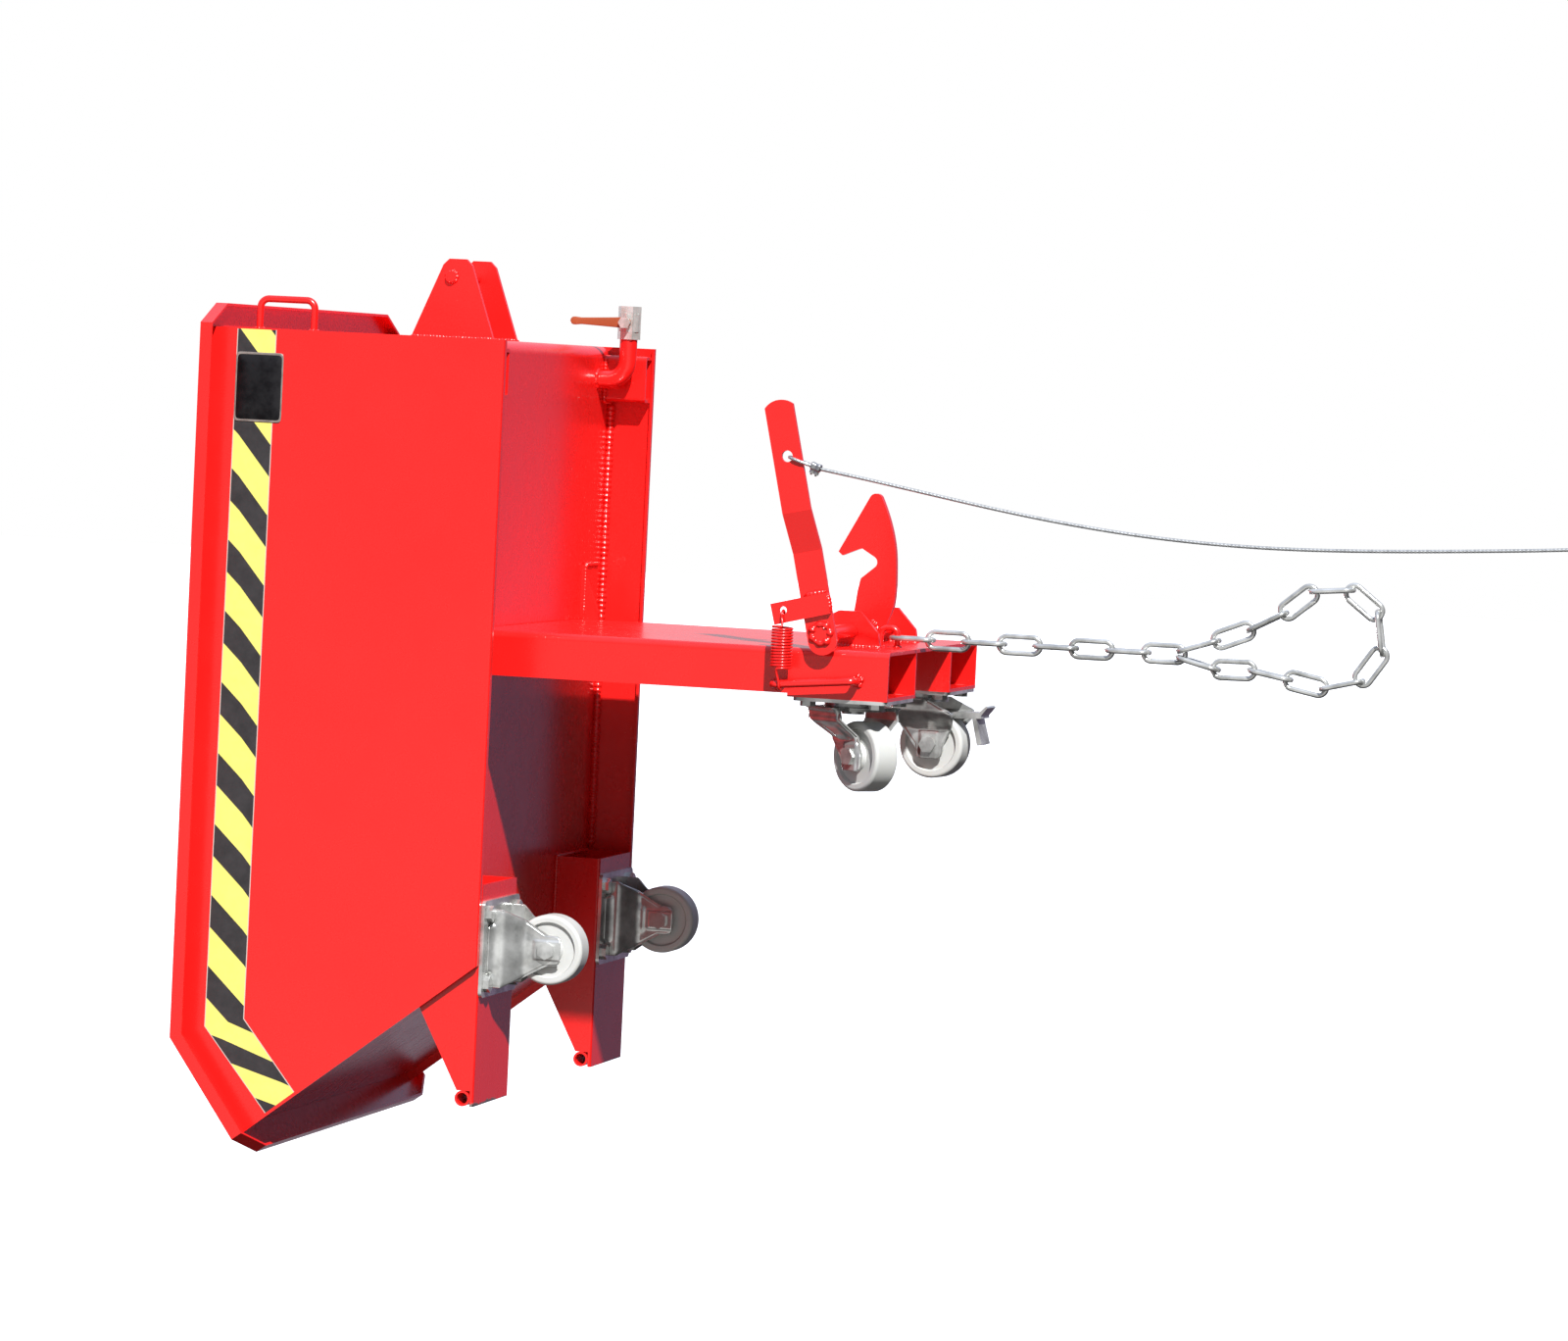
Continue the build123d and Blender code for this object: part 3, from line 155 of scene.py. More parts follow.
def rounded_ends(along, share, least):
    """One along a run from nought to one, and a quarter ellipse down over a share of it at each end."""
    past = np.clip((np.abs(along - 0.5) - (0.5 - share)) / share, 0, None)
    return np.sqrt(np.clip(1 - past**2, least, 1))


def square_ways(line, across):
    """Two unit ways square to a line and to each other, at each of its points, the first nearest across."""
    tangent = np.gradient(line, axis=0)
    tangent /= np.linalg.norm(tangent, axis=1)[:, None]
    first = across - (tangent @ across)[:, None] * tangent
    first /= np.linalg.norm(first, axis=1)[:, None]
    return first, np.cross(tangent, first)


def run_length(line):
    """The distance along a line of points, at each point."""
    steps = np.linalg.norm(np.diff(line, axis=0), axis=1)
    return np.concatenate([[0.0], np.cumsum(steps)])


def carried_round(line, across, radius, around):
    """Rings of points: a circle carried along a line, its radius one value or an array (along, around)."""
    first, second = square_ways(line, np.asarray(across, float))
    angle = turn_angles(around)
    radius = np.broadcast_to(radius, (len(line), around))
    cos = np.cos(angle)[None, :, None]
    sin = np.sin(angle)[None, :, None]
    return line[:, None, :] + radius[:, :, None] * (cos * first[:, None, :] + sin * second[:, None, :])


def spline_points(control, steps):
    """Points in metres along the NURBS spline of a cord's route, read from a curve that has no bevel."""
    curve = bpy.data.curves.new("route", "CURVE")
    curve.dimensions = "3D"
    spline = curve.splines.new("NURBS")
    spline.points.add(len(control) - 1)
    spline.points.foreach_set("co", np.c_[control * MM, np.ones(len(control))].ravel())
    spline.order_u = 3
    spline.use_endpoint_u = True
    spline.resolution_u = steps
    route = bpy.data.objects.new("route", curve)
    bpy.context.scene.collection.objects.link(route)
    mesh = bpy.data.meshes.new_from_object(route)
    line = np.zeros(len(mesh.vertices) * 3)
    mesh.vertices.foreach_get("co", line)
    bpy.data.objects.remove(route)
    bpy.data.curves.remove(curve)
    bpy.data.meshes.remove(mesh)
    return line.reshape(-1, 3)


# Finishes


def linear(code):
    """An sRGB hex colour as linear red, green, blue and a full alpha."""
    part = np.array([int(code[i:i + 2], 16) for i in (1, 3, 5)]) / 255
    part = np.where(part <= 0.04045, part / 12.92, ((part + 0.055) / 1.055) ** 2.4)
    return (*part.tolist(), 1.0)


def add_node(tree, kind, values=None, links=None, **settings):
    """One node with its settings, its input values and the outputs that are linked into it."""
    node = tree.nodes.new(kind)
    for name, value in settings.items():
        setattr(node, name, value)
    for socket, value in (values or {}).items():
        node.inputs[socket].default_value = value
    for socket, source in (links or {}).items():
        tree.links.new(source, node.inputs[socket])
    return node


def new_finish(name, **values):
    """A material with one shader, its uniform values on the shader's own sockets, and its coordinates."""
    material = bpy.data.materials.new(name)
    material.use_nodes = True
    tree = material.node_tree
    tree.nodes.clear()
    shader = add_node(tree, "ShaderNodeBsdfPrincipled")
    for socket, value in values.items():
        shader.inputs[socket.replace("_", " ")].default_value = value
    add_node(tree, "ShaderNodeOutputMaterial", links={"Surface": shader.outputs["BSDF"]})
    place = add_node(tree, "ShaderNodeTexCoord")
    return material, tree, shader, place


def per_metre(size_mm):
    """A texture scale whose cells are about this many millimetres across."""
    return 1.0 / (size_mm * MM)


def enamel(name, light, deep, worn_from=None):
    """Gloss enamel sprayed on sheet steel.

    A faint orange peel breaks up the gloss, the coat is thinner and paler in drifts, and dust dulls it in
    patches. Where worn_from gives two heights in metres, the paint is rubbed to bare steel towards the lower.
    """
    material, tree, shader, place = new_finish(name, IOR=1.5, Coat_Weight=0.3, Coat_Roughness=0.16)
    spot = place.outputs["Object"]
    drift = add_node(tree, "ShaderNodeTexNoise", {"Scale": per_metre(180), "Detail": 3.0}, {"Vector": spot})
    colour = add_node(
        tree, "ShaderNodeMix", {"A": linear(deep), "B": linear(light)},
        {"Factor": drift.outputs["Fac"]}, data_type="RGBA",
    )
    dust = add_node(
        tree, "ShaderNodeTexNoise", {"Scale": per_metre(45), "Detail": 6.0, "Roughness": 0.65},
        {"Vector": spot},
    )
    gloss = add_node(
        tree, "ShaderNodeMapRange", {"From Min": 0.35, "From Max": 0.75, "To Min": 0.24, "To Max": 0.31},
        {"Value": dust.outputs["Fac"]},
    )
    # Orange peel is about 1 mm across; drawn at 4 mm so that it shows
    peel = add_node(tree, "ShaderNodeTexNoise", {"Scale": per_metre(4), "Detail": 2.0}, {"Vector": spot})
    skin = add_node(
        tree, "ShaderNodeBump", {"Strength": 0.03, "Distance": 0.3 * MM}, {"Height": peel.outputs["Fac"]},
    )
    tree.links.new(skin.outputs["Normal"], shader.inputs["Normal"])
    if worn_from is None:
        tree.links.new(colour.outputs["Result"], shader.inputs["Base Color"])
        tree.links.new(gloss.outputs["Result"], shader.inputs["Roughness"])
        return material
    high, low = worn_from
    axes = add_node(tree, "ShaderNodeSeparateXYZ", links={"Vector": spot})
    reach = add_node(
        tree, "ShaderNodeMapRange", {"From Min": high, "From Max": low, "To Min": -0.35, "To Max": 0.55},
        {"Value": axes.outputs["Z"]}, clamp=False,
    )
    flake = add_node(
        tree, "ShaderNodeTexNoise", {"Scale": per_metre(24), "Detail": 8.0, "Roughness": 0.7},
        {"Vector": spot},
    )
    both = add_node(
        tree, "ShaderNodeMath", links={0: reach.outputs["Result"], 1: flake.outputs["Fac"]}, operation="ADD",
    )
    bare = add_node(
        tree, "ShaderNodeMapRange", {"From Min": 0.58, "From Max": 0.64}, {"Value": both.outputs["Value"]},
    )
    steel = add_node(
        tree, "ShaderNodeMix", {"A": linear("#6E6460"), "B": linear("#B9B0A8")},
        {"Factor": flake.outputs["Fac"]}, data_type="RGBA",
    )
    shown = add_node(tree, "ShaderNodeMix", data_type="RGBA", links={
        "Factor": bare.outputs["Result"], "A": colour.outputs["Result"], "B": steel.outputs["Result"],
    })
    dull = add_node(
        tree, "ShaderNodeMix", {"B": 0.5}, {"Factor": bare.outputs["Result"], "A": gloss.outputs["Result"]},
        data_type="FLOAT",
    )
    tree.links.new(shown.outputs["Result"], shader.inputs["Base Color"])
    tree.links.new(dull.outputs["Result"], shader.inputs["Roughness"])
    tree.links.new(bare.outputs["Result"], shader.inputs["Metallic"])
    return material


def plated(name, light, deep, rough, cloud_mm, metal=1.0):
    """Plated, drawn or anodised metal: a thin coat over pressed, turned or rolled metal.

    The coat clouds from light to deep in patches, its gloss changes with them, and fine rolling lines in the
    metal below stretch the highlights. Where the coat is passivated and hazy, metal is below one.
    """
    material, tree, shader, place = new_finish(name, Metallic=metal)
    spot = place.outputs["Object"]
    cloud = add_node(
        tree, "ShaderNodeTexNoise", {"Scale": per_metre(cloud_mm), "Detail": 5.0, "Roughness": 0.6},
        {"Vector": spot},
    )
    patch = add_node(
        tree, "ShaderNodeMapRange", {"From Min": 0.36, "From Max": 0.64}, {"Value": cloud.outputs["Fac"]},
    )
    colour = add_node(
        tree, "ShaderNodeMix", {"A": linear(deep), "B": linear(light)},
        {"Factor": patch.outputs["Result"]}, data_type="RGBA",
    )
    gloss = add_node(
        tree, "ShaderNodeMapRange",
        {"From Min": 0.3, "From Max": 0.7, "To Min": rough * 1.3, "To Max": rough * 0.8},
        {"Value": cloud.outputs["Fac"]},
    )
    # Rolling lines are under 0.5 mm apart; drawn at 2 mm, long one way
    turned = add_node(tree, "ShaderNodeMapping", {"Scale": (1.0, 6.0, 1.0)}, {"Vector": spot})
    lines = add_node(
        tree, "ShaderNodeTexNoise", {"Scale": per_metre(12), "Detail": 3.0},
        {"Vector": turned.outputs["Vector"]},
    )
    skin = add_node(
        tree, "ShaderNodeBump", {"Strength": 0.12, "Distance": 0.2 * MM}, {"Height": lines.outputs["Fac"]},
    )
    tree.links.new(colour.outputs["Result"], shader.inputs["Base Color"])
    tree.links.new(gloss.outputs["Result"], shader.inputs["Roughness"])
    tree.links.new(skin.outputs["Normal"], shader.inputs["Normal"])
    return material


def cast_nylon(name):
    """White cast nylon: slightly see-into, satin, a little yellow with age, with specks of dirt rolled in."""
    material, tree, shader, place = new_finish(
        name, IOR=1.53, Subsurface_Weight=0.12, Subsurface_Radius=(0.004, 0.003, 0.002),
    )
    spot = place.outputs["Object"]
    age = add_node(tree, "ShaderNodeTexNoise", {"Scale": per_metre(35), "Detail": 4.0}, {"Vector": spot})
    tone = add_node(
        tree, "ShaderNodeMix", {"A": linear("#C6C7C5"), "B": linear("#B8B8B2")},
        {"Factor": age.outputs["Fac"]}, data_type="RGBA",
    )
    speck = add_node(
        tree, "ShaderNodeTexNoise", {"Scale": per_metre(5), "Detail": 6.0, "Roughness": 0.75},
        {"Vector": spot},
    )
    dirt = add_node(
        tree, "ShaderNodeMapRange", {"From Min": 0.6, "From Max": 0.8, "To Max": 0.35},
        {"Value": speck.outputs["Fac"]},
    )
    shown = add_node(
        tree, "ShaderNodeMix", {"B": linear("#8C8474")},
        {"Factor": dirt.outputs["Result"], "A": tone.outputs["Result"]}, data_type="RGBA",
    )
    gloss = add_node(
        tree, "ShaderNodeMapRange", {"To Min": 0.35, "To Max": 0.55}, {"Value": speck.outputs["Fac"]},
    )
    skin = add_node(
        tree, "ShaderNodeBump", {"Strength": 0.1, "Distance": 0.2 * MM}, {"Height": speck.outputs["Fac"]},
    )
    tree.links.new(shown.outputs["Result"], shader.inputs["Base Color"])
    tree.links.new(gloss.outputs["Result"], shader.inputs["Roughness"])
    tree.links.new(skin.outputs["Normal"], shader.inputs["Normal"])
    return material


def striped_vinyl(name, width, margin, pitch):
    """Printed hazard tape: satin vinyl with black and yellow diagonals, faded, scuffed, with grey margins.

    The UV map gives the distance across and along in metres. A stripe is black where along less the slope
    times across, divided by the pitch, is in the black share of its turn.
    """
    slope = 1.2
    first_turn = 2.055
    black_share = 0.455
    soft_edge = 0.006
    material, tree, shader, place = new_finish(name, IOR=1.5)
    axes = add_node(tree, "ShaderNodeSeparateXYZ", links={"Vector": place.outputs["UV"]})
    slant = add_node(
        tree, "ShaderNodeMath", {1: -slope}, {0: axes.outputs["X"], 2: axes.outputs["Y"]},
        operation="MULTIPLY_ADD",
    )
    turns = add_node(
        tree, "ShaderNodeMath", {1: per_metre(pitch), 2: first_turn}, {0: slant.outputs["Value"]},
        operation="MULTIPLY_ADD",
    )
    part = add_node(tree, "ShaderNodeMath", links={0: turns.outputs["Value"]}, operation="FRACT")
    stripe = add_node(
        tree, "ShaderNodeMapRange",
        {
            "From Min": black_share - soft_edge, "From Max": black_share + soft_edge,
            "To Min": 1.0, "To Max": 0.0,
        },
        {"Value": part.outputs["Value"]},
    )
    scuff = add_node(
        tree, "ShaderNodeTexNoise", {"Scale": per_metre(14), "Detail": 7.0, "Roughness": 0.7},
        {"Vector": place.outputs["Object"]},
    )
    yellow = add_node(
        tree, "ShaderNodeMix", {"A": linear("#E9DE5E"), "B": linear("#D8CC74")},
        {"Factor": scuff.outputs["Fac"]}, data_type="RGBA",
    )
    black = add_node(
        tree, "ShaderNodeMix", {"A": linear("#171516"), "B": linear("#3A3637")},
        {"Factor": scuff.outputs["Fac"]}, data_type="RGBA",
    )
    ink = add_node(tree, "ShaderNodeMix", data_type="RGBA", links={
        "Factor": stripe.outputs["Result"], "A": yellow.outputs["Result"], "B": black.outputs["Result"],
    })
    off_middle = add_node(
        tree, "ShaderNodeMath", {1: width / 2 * MM}, {0: axes.outputs["X"]}, operation="SUBTRACT",
    )
    edge = add_node(tree, "ShaderNodeMath", links={0: off_middle.outputs["Value"]}, operation="ABSOLUTE")
    printed = (width / 2 - margin) * MM
    grey = add_node(
        tree, "ShaderNodeMapRange", {"From Min": printed, "From Max": printed + 0.4 * MM},
        {"Value": edge.outputs["Value"]},
    )
    shown = add_node(
        tree, "ShaderNodeMix", {"B": linear("#B9AFA6")},
        {"Factor": grey.outputs["Result"], "A": ink.outputs["Result"]}, data_type="RGBA",
    )
    gloss = add_node(
        tree, "ShaderNodeMapRange", {"To Min": 0.32, "To Max": 0.6}, {"Value": scuff.outputs["Fac"]},
    )
    tree.links.new(shown.outputs["Result"], shader.inputs["Base Color"])
    tree.links.new(gloss.outputs["Result"], shader.inputs["Roughness"])
    return material


# Sprayed red gloss: an even deep red with clear highlights, rubbed to steel at the low ends of the feet
red_enamel = enamel("traffic_red_enamel", "#EA1E1B", "#DD1614")
foot_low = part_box("foot_near")[0].z
rubbed_enamel = enamel("rubbed_red_enamel", "#EA1E1B", "#DD1614", (foot_low + 12 * MM, foot_low - 10 * MM))
# Brown gloss dipped over the valve's lever
lever_paint = enamel("copper_brown_lever_paint", "#A85836", "#7C3A22")
# Electroplated zinc under a clear passivation: bright with grey clouds, and hazier than bare metal
bright_zinc = plated("passivated_zinc_plate", "#E4E5E2", "#9C9D9A", rough=0.2, cloud_mm=40, metal=0.68)
# Nickel on turned brass: warm, pale and the brightest metal here
nickel = plated("nickel_plated_brass", "#F2F0EC", "#CFCBC3", rough=0.18, cloud_mm=15, metal=0.6)
# Drawn galvanised wire and pressed aluminium: greyer and duller, with soft highlights
drawn_wire = plated("galvanised_wire", "#C6C8C8", "#969899", rough=0.4, cloud_mm=6, metal=0.75)
crimped = plated("crimped_aluminium", "#C4C5C6", "#8F9092", rough=0.38, cloud_mm=8)
# Cast white nylon: satin, soft and a little yellow
white_nylon = cast_nylon("white_cast_nylon")
# Printed vinyl tape: satin stripes with a grey margin
tape_vinyl = striped_vinyl("black_yellow_tape_vinyl", width=47.0, margin=1.2, pitch=80.6)
# Dark anodised sheet with a bare cut edge
plate_metal = plated("dark_anodised_plate", "#3A393B", "#232224", rough=0.45, cloud_mm=12)
plate_edge = plated("bare_aluminium_edge", "#A89C94", "#857A74", rough=0.4, cloud_mm=10, metal=0.6)

node_finish = {
    bright_zinc: (
        "rigid_bracket_near", "rigid_bracket_far", "rigid_axles", "rigid_bolts", "swivel_bolts",
        "swivel_races", "king_pins", "swivel_plate_near", "swivel_plate_far", "swivel_fork_near",
        "swivel_fork_far", "swivel_axle_near", "swivel_axle_far", "brake_pedal", "pedal_pin", "chain",
        "bush_rigid_near", "bush_rigid_far", "bush_swivel_near", "bush_swivel_far",
    ),
    white_nylon: ("wheel_rigid_near", "wheel_rigid_far", "wheel_swivel_near", "wheel_swivel_far"),
    nickel: ("valve_body", "stem_nut"),
    lever_paint: ("valve_lever",),
    rubbed_enamel: ("foot_near", "foot_far"),
}
finish_of = {name: finish for finish, names in node_finish.items() for name in names}
for name, node in nodes.items():
    node.data.materials.clear()
    node.data.materials.append(finish_of.get(name, red_enamel))


# Pull rope

ROPE_D = 4
ROPE_Y = -256
ROPE_LAY = 26
CLIP_LENGTH = 12
FERRULE_LENGTH = 14


def laid_rope(name, route, across, steps):
    """A wire rope of six strands along its route's spline, and its path in metres.

    Its radius at an angle round it and a distance along it is half the diameter, less a cosine dip between
    strands: six dips round, which turn once in each length of lay.
    """
    strands = 6
    dip_share = 0.16
    around = 24
    path = spline_points(route, steps)
    line = path / MM
    turn = FULL_TURN * run_length(line) / ROPE_LAY
    dip = 0.5 - 0.5 * np.cos(strands * (turn_angles(around)[None, :] - turn[:, None]))
    rings = carried_round(line, across, ROPE_D / 2 * (1 - dip_share * dip), around)
    piece = make_piece(name, rings, ring_faces(len(line), around), drawn_wire)
    path = path.tolist()
    return piece, path


def ferrule(name, start, way, wide, body):
    """A pressed ferrule: a slot outline carried along the rope, drawn in at its ends and by two crimps.

    The outline is a circle whose wide side is pushed apart by the strands' spacing.
    """
    rows = 57
    around = 32
    radius = 3.5
    spacing = 2.2
    crimp_depth = 0.10
    crimp_width = 0.09
    crimp_places = (0.32, 0.68)
    thick = np.cross(way, wide)
    along = np.linspace(0, 1, rows)
    angle = turn_angles(around)
    nip = 1 - crimp_depth * sum(bell(along, place, crimp_width) for place in crimp_places)
    size = radius * nip * (0.75 + 0.25 * rounded_ends(along, 0.08, 0.1))
    across = size[:, None] * np.cos(angle)[None, :] + spacing * np.tanh(4 * np.cos(angle))[None, :]
    deep = size[:, None] * np.sin(angle)[None, :]
    line = start + (FERRULE_LENGTH * along)[:, None] * way
    rings = line[:, None, :] + across[:, :, None] * wide + deep[:, :, None] * thick
    piece = make_piece(name, rings, ring_faces(rows, around), crimped)
    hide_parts("rope_ferrules")
    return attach(piece, body)


def rope_clip(start, way, body):
    """A cast rope clip and its two nuts.

    The saddle is a squarish superellipse across the rope, carried along it, with a drawn-in waist and rounded
    ends. A nut is a hexagon's radius at each angle, held to a smaller round at both faces, with a thread's
    round below it.
    """
    rows = 33
    around = 48
    half_width = 5.3
    half_height = 4.4
    lift = 0.4
    up = np.cross(way, SIDEWAYS)
    along = np.linspace(0, 1, rows)
    angle = turn_angles(around)
    wide, deep = squarish(angle, 0.45, 0.6)
    waist = 1 - 0.13 * bell(along, 0.5, 0.16)
    size = waist * (0.7 + 0.3 * rounded_ends(along, 0.1, 0.05))
    rise = size[:, None] * (lift + half_height * deep)[None, :]
    reach = size[:, None] * (half_width * wide)[None, :]
    rings = start + (CLIP_LENGTH * along)[:, None, None] * way + rise[:, :, None] * up
    rings = rings + reach[:, :, None] * SIDEWAYS
    pieces = [make_piece("rope_clip_saddle", rings, ring_faces(rows, around), crimped)]

    # Down a nut and its thread: the depth below the rope, and the largest radius there
    nut_profile = np.array([
        (3.2, 2.6), (3.6, 3.0), (7.4, 3.0), (7.9, 2.6), (7.9, 1.3), (9.3, 1.3), (9.7, 1.0),
    ])
    nut_half_flats = 2.5
    nut_places = (3.2, 8.8)
    depth, limit = nut_profile.T
    flats = nut_half_flats / np.cos((angle + math.pi / 6) % (math.pi / 3) - math.pi / 6)
    radius = np.minimum(flats[None, :], limit[:, None])
    nut_faces = ring_faces(len(nut_profile), around)
    for count, place in enumerate(nut_places):
        rings = start + place * way - depth[:, None, None] * up
        rings = rings + (radius * np.cos(angle))[:, :, None] * way
        rings = rings - (radius * np.sin(angle))[:, :, None] * SIDEWAYS
        pieces.append(make_piece(f"rope_clip_nut_{count}", rings, nut_faces, bright_zinc, smooth=False))
    for piece in pieces:
        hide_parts("rope_ferrules")
        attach(piece, body)
    return pieces


# The rope's route in x and z, from the clip at the lever to the end ferrule
rope_points = np.array([
    (-81.42, 206.39), (-33, 198.6), (8, 191.5), (62, 182), (117, 172.5), (172, 164), (228, 156.8),
    (285, 151), (342, 147.2), (399, 145.2), (457, 145), (515, 146.5), (573, 149), (631, 152.2),
    (690, 155.8), (738, 159), (778, 162.2),
])
rope_route = np.c_[rope_points[:, 0], np.full(len(rope_points), ROPE_Y), rope_points[:, 1]]
rope_fall = math.radians(18)
rope_way = np.array([math.cos(rope_fall), 0, -math.sin(rope_fall)])
end_way = rope_route[-1] - rope_route[-2]
end_way /= np.linalg.norm(end_way)
end_up = np.cross(end_way, SIDEWAYS)
clip_pieces = rope_clip(rope_route[0] - CLIP_LENGTH * rope_way, rope_way, "latch")
end_ferrule = ferrule("end_ferrule", rope_route[-1], end_way, end_up, "base_frame")

pull_rope, rope_path = laid_rope(
    "pull_rope_strands", rope_route, SIDEWAYS, steps=64,
)
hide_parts("pull_rope")
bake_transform(pull_rope)

# The eye through the lever's hole: the distance along the rope from the eye's far end, and sideways
eye_length = 29
eye_local = np.array([(eye_length, 2.2), (23, 5.8), (2.5, 5.8), (2.5, -5.8), (23, -5.8), (eye_length, -2.2)])
eye_far_end = rope_route[0] - (CLIP_LENGTH + eye_length) * rope_way
eye_route = eye_far_end + eye_local[:, :1] * rope_way + eye_local[:, 1:] * SIDEWAYS
rope_eye, _ = laid_rope(
    "rope_eye_strands", eye_route, np.cross(rope_way, SIDEWAYS), steps=24,
)
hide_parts("rope_eye")
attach(rope_eye, "latch")

# The loop past the end ferrule: the distance along the rope from the ferrule, and upwards
loop_local = np.array([
    (0, 2.2), (18, 9), (40, 17), (62, 18), (78, 8), (78, -8), (62, -18), (40, -17), (18, -9), (0, -2.2),
])
loop_start = rope_route[-1] + FERRULE_LENGTH * end_way
loop_route = loop_start + loop_local[:, :1] * end_way + loop_local[:, 1:] * end_up
rope_loop, _ = laid_rope(
    "rope_loop_strands", loop_route, SIDEWAYS, steps=24,
)
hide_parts("rope_loop")
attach(rope_loop, "base_frame")


# Latch spring


def wound_spring():
    """The tension spring's wire: a hook round the rod, fourteen turns, and a hook in the tab, one round wire.

    The coil's point at a turn is its axis plus the coil radius turned by that angle, raised by the pitch. The
    hooks are arcs across the rod, and a cubic with the arcs' and the coil's directions joins them.
    """
    wire = 2.8
    turns = 14
    pitch = 3.35
    hook_radius = 6.4
    turn_steps = 40
    hook_steps = 40
    join_steps = 16
    around = 10
    low, high = box_mm("latch_spring")
    axis_x, axis_y = (low + high)[:2] / 2
    coil_radius = (high[0] - low[0] - wire) / 2
    rod_z = low[2] + hook_radius + wire / 2
    hole_z = high[2] - wire / 2
    coil_low = (hole_z + rod_z - turns * pitch) / 2
    turn = np.linspace(0, turns, turns * turn_steps + 1)
    angle = FULL_TURN * turn
    coil = np.stack([
        axis_x + coil_radius * np.sin(angle), axis_y - coil_radius * np.cos(angle), coil_low + pitch * turn,
    ], 1)

    def hook(centre_z, first, last):
        """An arc of the hook's round, in the plane across the rod, between two angles in degrees."""
        sweep = np.radians(np.linspace(first, last, hook_steps))
        return np.stack([
            np.full(hook_steps, axis_x), axis_y + hook_radius * np.cos(sweep),
            centre_z + hook_radius * np.sin(sweep),
        ], 1)

    def joined(p, way_p, q, way_q):
        """A cubic from one point and direction to another."""
        t = np.linspace(0, 1, join_steps)[1:-1, None]
        reach = np.linalg.norm(q - p)
        return (
            (2 * t**3 - 3 * t**2 + 1) * p + (t**3 - 2 * t**2 + t) * reach * way_p
            + (3 * t**2 - 2 * t**3) * q + (t**3 - t**2) * reach * way_q
        )

    below = hook(rod_z, 60, -180)
    above = hook(hole_z - hook_radius, 180, -15)
    line = np.concatenate([
        below, joined(below[-1], UP, coil[0], REARWARD),
        coil, joined(coil[-1], REARWARD, above[0], UP), above,
    ])
    # A way that the wire nowhere runs along
    across = (0.02, 0.03, 1.0)
    rings = carried_round(line, across, wire / 2, around)
    piece = make_piece("latch_spring_coil", rings, ring_faces(len(line), around), red_enamel)
    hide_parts("latch_spring")
    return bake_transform(piece)


wound_spring()


# Valve lever


def valve_handle():
    """The valve's pressed lever: a squarish superellipse carried out from the stem along a straight line.

    Its half-width at a distance s from the stem is the hub's round, then a taper to the neck, then a fuller
    round end. The half-thickness is the sheet's, swells by a third in the round end, and thins as a square
    root where the half-width runs out.
    """
    neck = 4.1
    end = 4.9
    neck_share = 0.8
    widening = 0.1
    swell = 0.33
    thins_below = 3
    around = 40
    low, high = box_mm("valve_lever")
    middle = (low + high) / 2
    hub = (high[2] - low[2]) / 2
    reach = high[0] - low[0] - hub
    s = np.concatenate([
        -hub * np.cos(np.linspace(0.05, math.pi / 2, 16)),
        np.linspace(0.02, neck_share, 24) * reach,
        np.linspace(neck_share + 0.01, neck_share + widening, 8) * reach,
        reach - end + end * np.sin(np.linspace(0.05, math.pi / 2 - 0.05, 14)),
    ])
    straight = hub + (neck - hub) * np.clip(s / (neck_share * reach), 0, 1) ** 0.8
    straight = straight + (end - neck) * np.clip((s / reach - neck_share) / widening, 0, 1)
    hub_round = np.where(s < 0, np.sqrt(np.clip(hub**2 - s**2, 0, None)), straight)
    tip_round = np.sqrt(np.clip(end**2 - np.clip(s - (reach - end), 0, None) ** 2, 0, None))
    half = np.minimum(hub_round, np.where(s > reach - end, tip_round, straight))
    thick = (high[1] - low[1]) / 2 * (1 + swell * np.clip((s / reach - 0.82) / 0.08, 0, 1))
    thinned = thick * np.minimum(half / thins_below, 1) ** 0.5
    wide, deep = squarish(turn_angles(around), 0.6, 0.4)
    rings = np.stack([
        np.broadcast_to((high[0] - hub - s)[:, None], (len(s), around)),
        middle[1] + thinned[:, None] * deep[None, :],
        middle[2] + half[:, None] * wide[None, :],
    ], 2)
    piece = make_piece("valve_lever_bar", rings, ring_faces(len(s), around), lever_paint)
    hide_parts("valve_lever")
    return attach(piece, "valve_lever")


valve_handle()


# Tape and plate on the near wall

near_face = box_mm("side_wall_near")[0][1]


def tape_strip(name, front, rear):
    """A tape stuck to the near wall: a thin flat profile carried between two edges, mitred at their turns."""
    thick = 0.35
    front = np.asarray(front, float)
    rear = np.asarray(rear, float)
    edges = np.stack([front, rear, rear, front], 1)
    grid = edges.shape[:2]
    depth = np.array([near_face - thick, near_face - thick, near_face, near_face])
    rings = np.stack([edges[:, :, 0], np.broadcast_to(depth, grid), edges[:, :, 1]], 2)
    width = np.linalg.norm(rear[0] - front[0])
    run = run_length((front + rear) / 2)
    across = np.broadcast_to(np.array([0, width, width, 0]), grid)
    uv = np.stack([across, np.broadcast_to(run[:, None], grid)], 2) * MM
    piece = make_piece(name, rings, ring_faces(len(front), 4), tape_vinyl, smooth=False, uv=uv)
    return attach(piece, "hopper")


# The tape's two edges in x and z
tape_strip(
    "hazard_tape",
    front=[(-757, 333), (-760.5, -464), (-683, -558)],
    rear=[(-710, 333), (-713, -452), (-649, -531)],
)


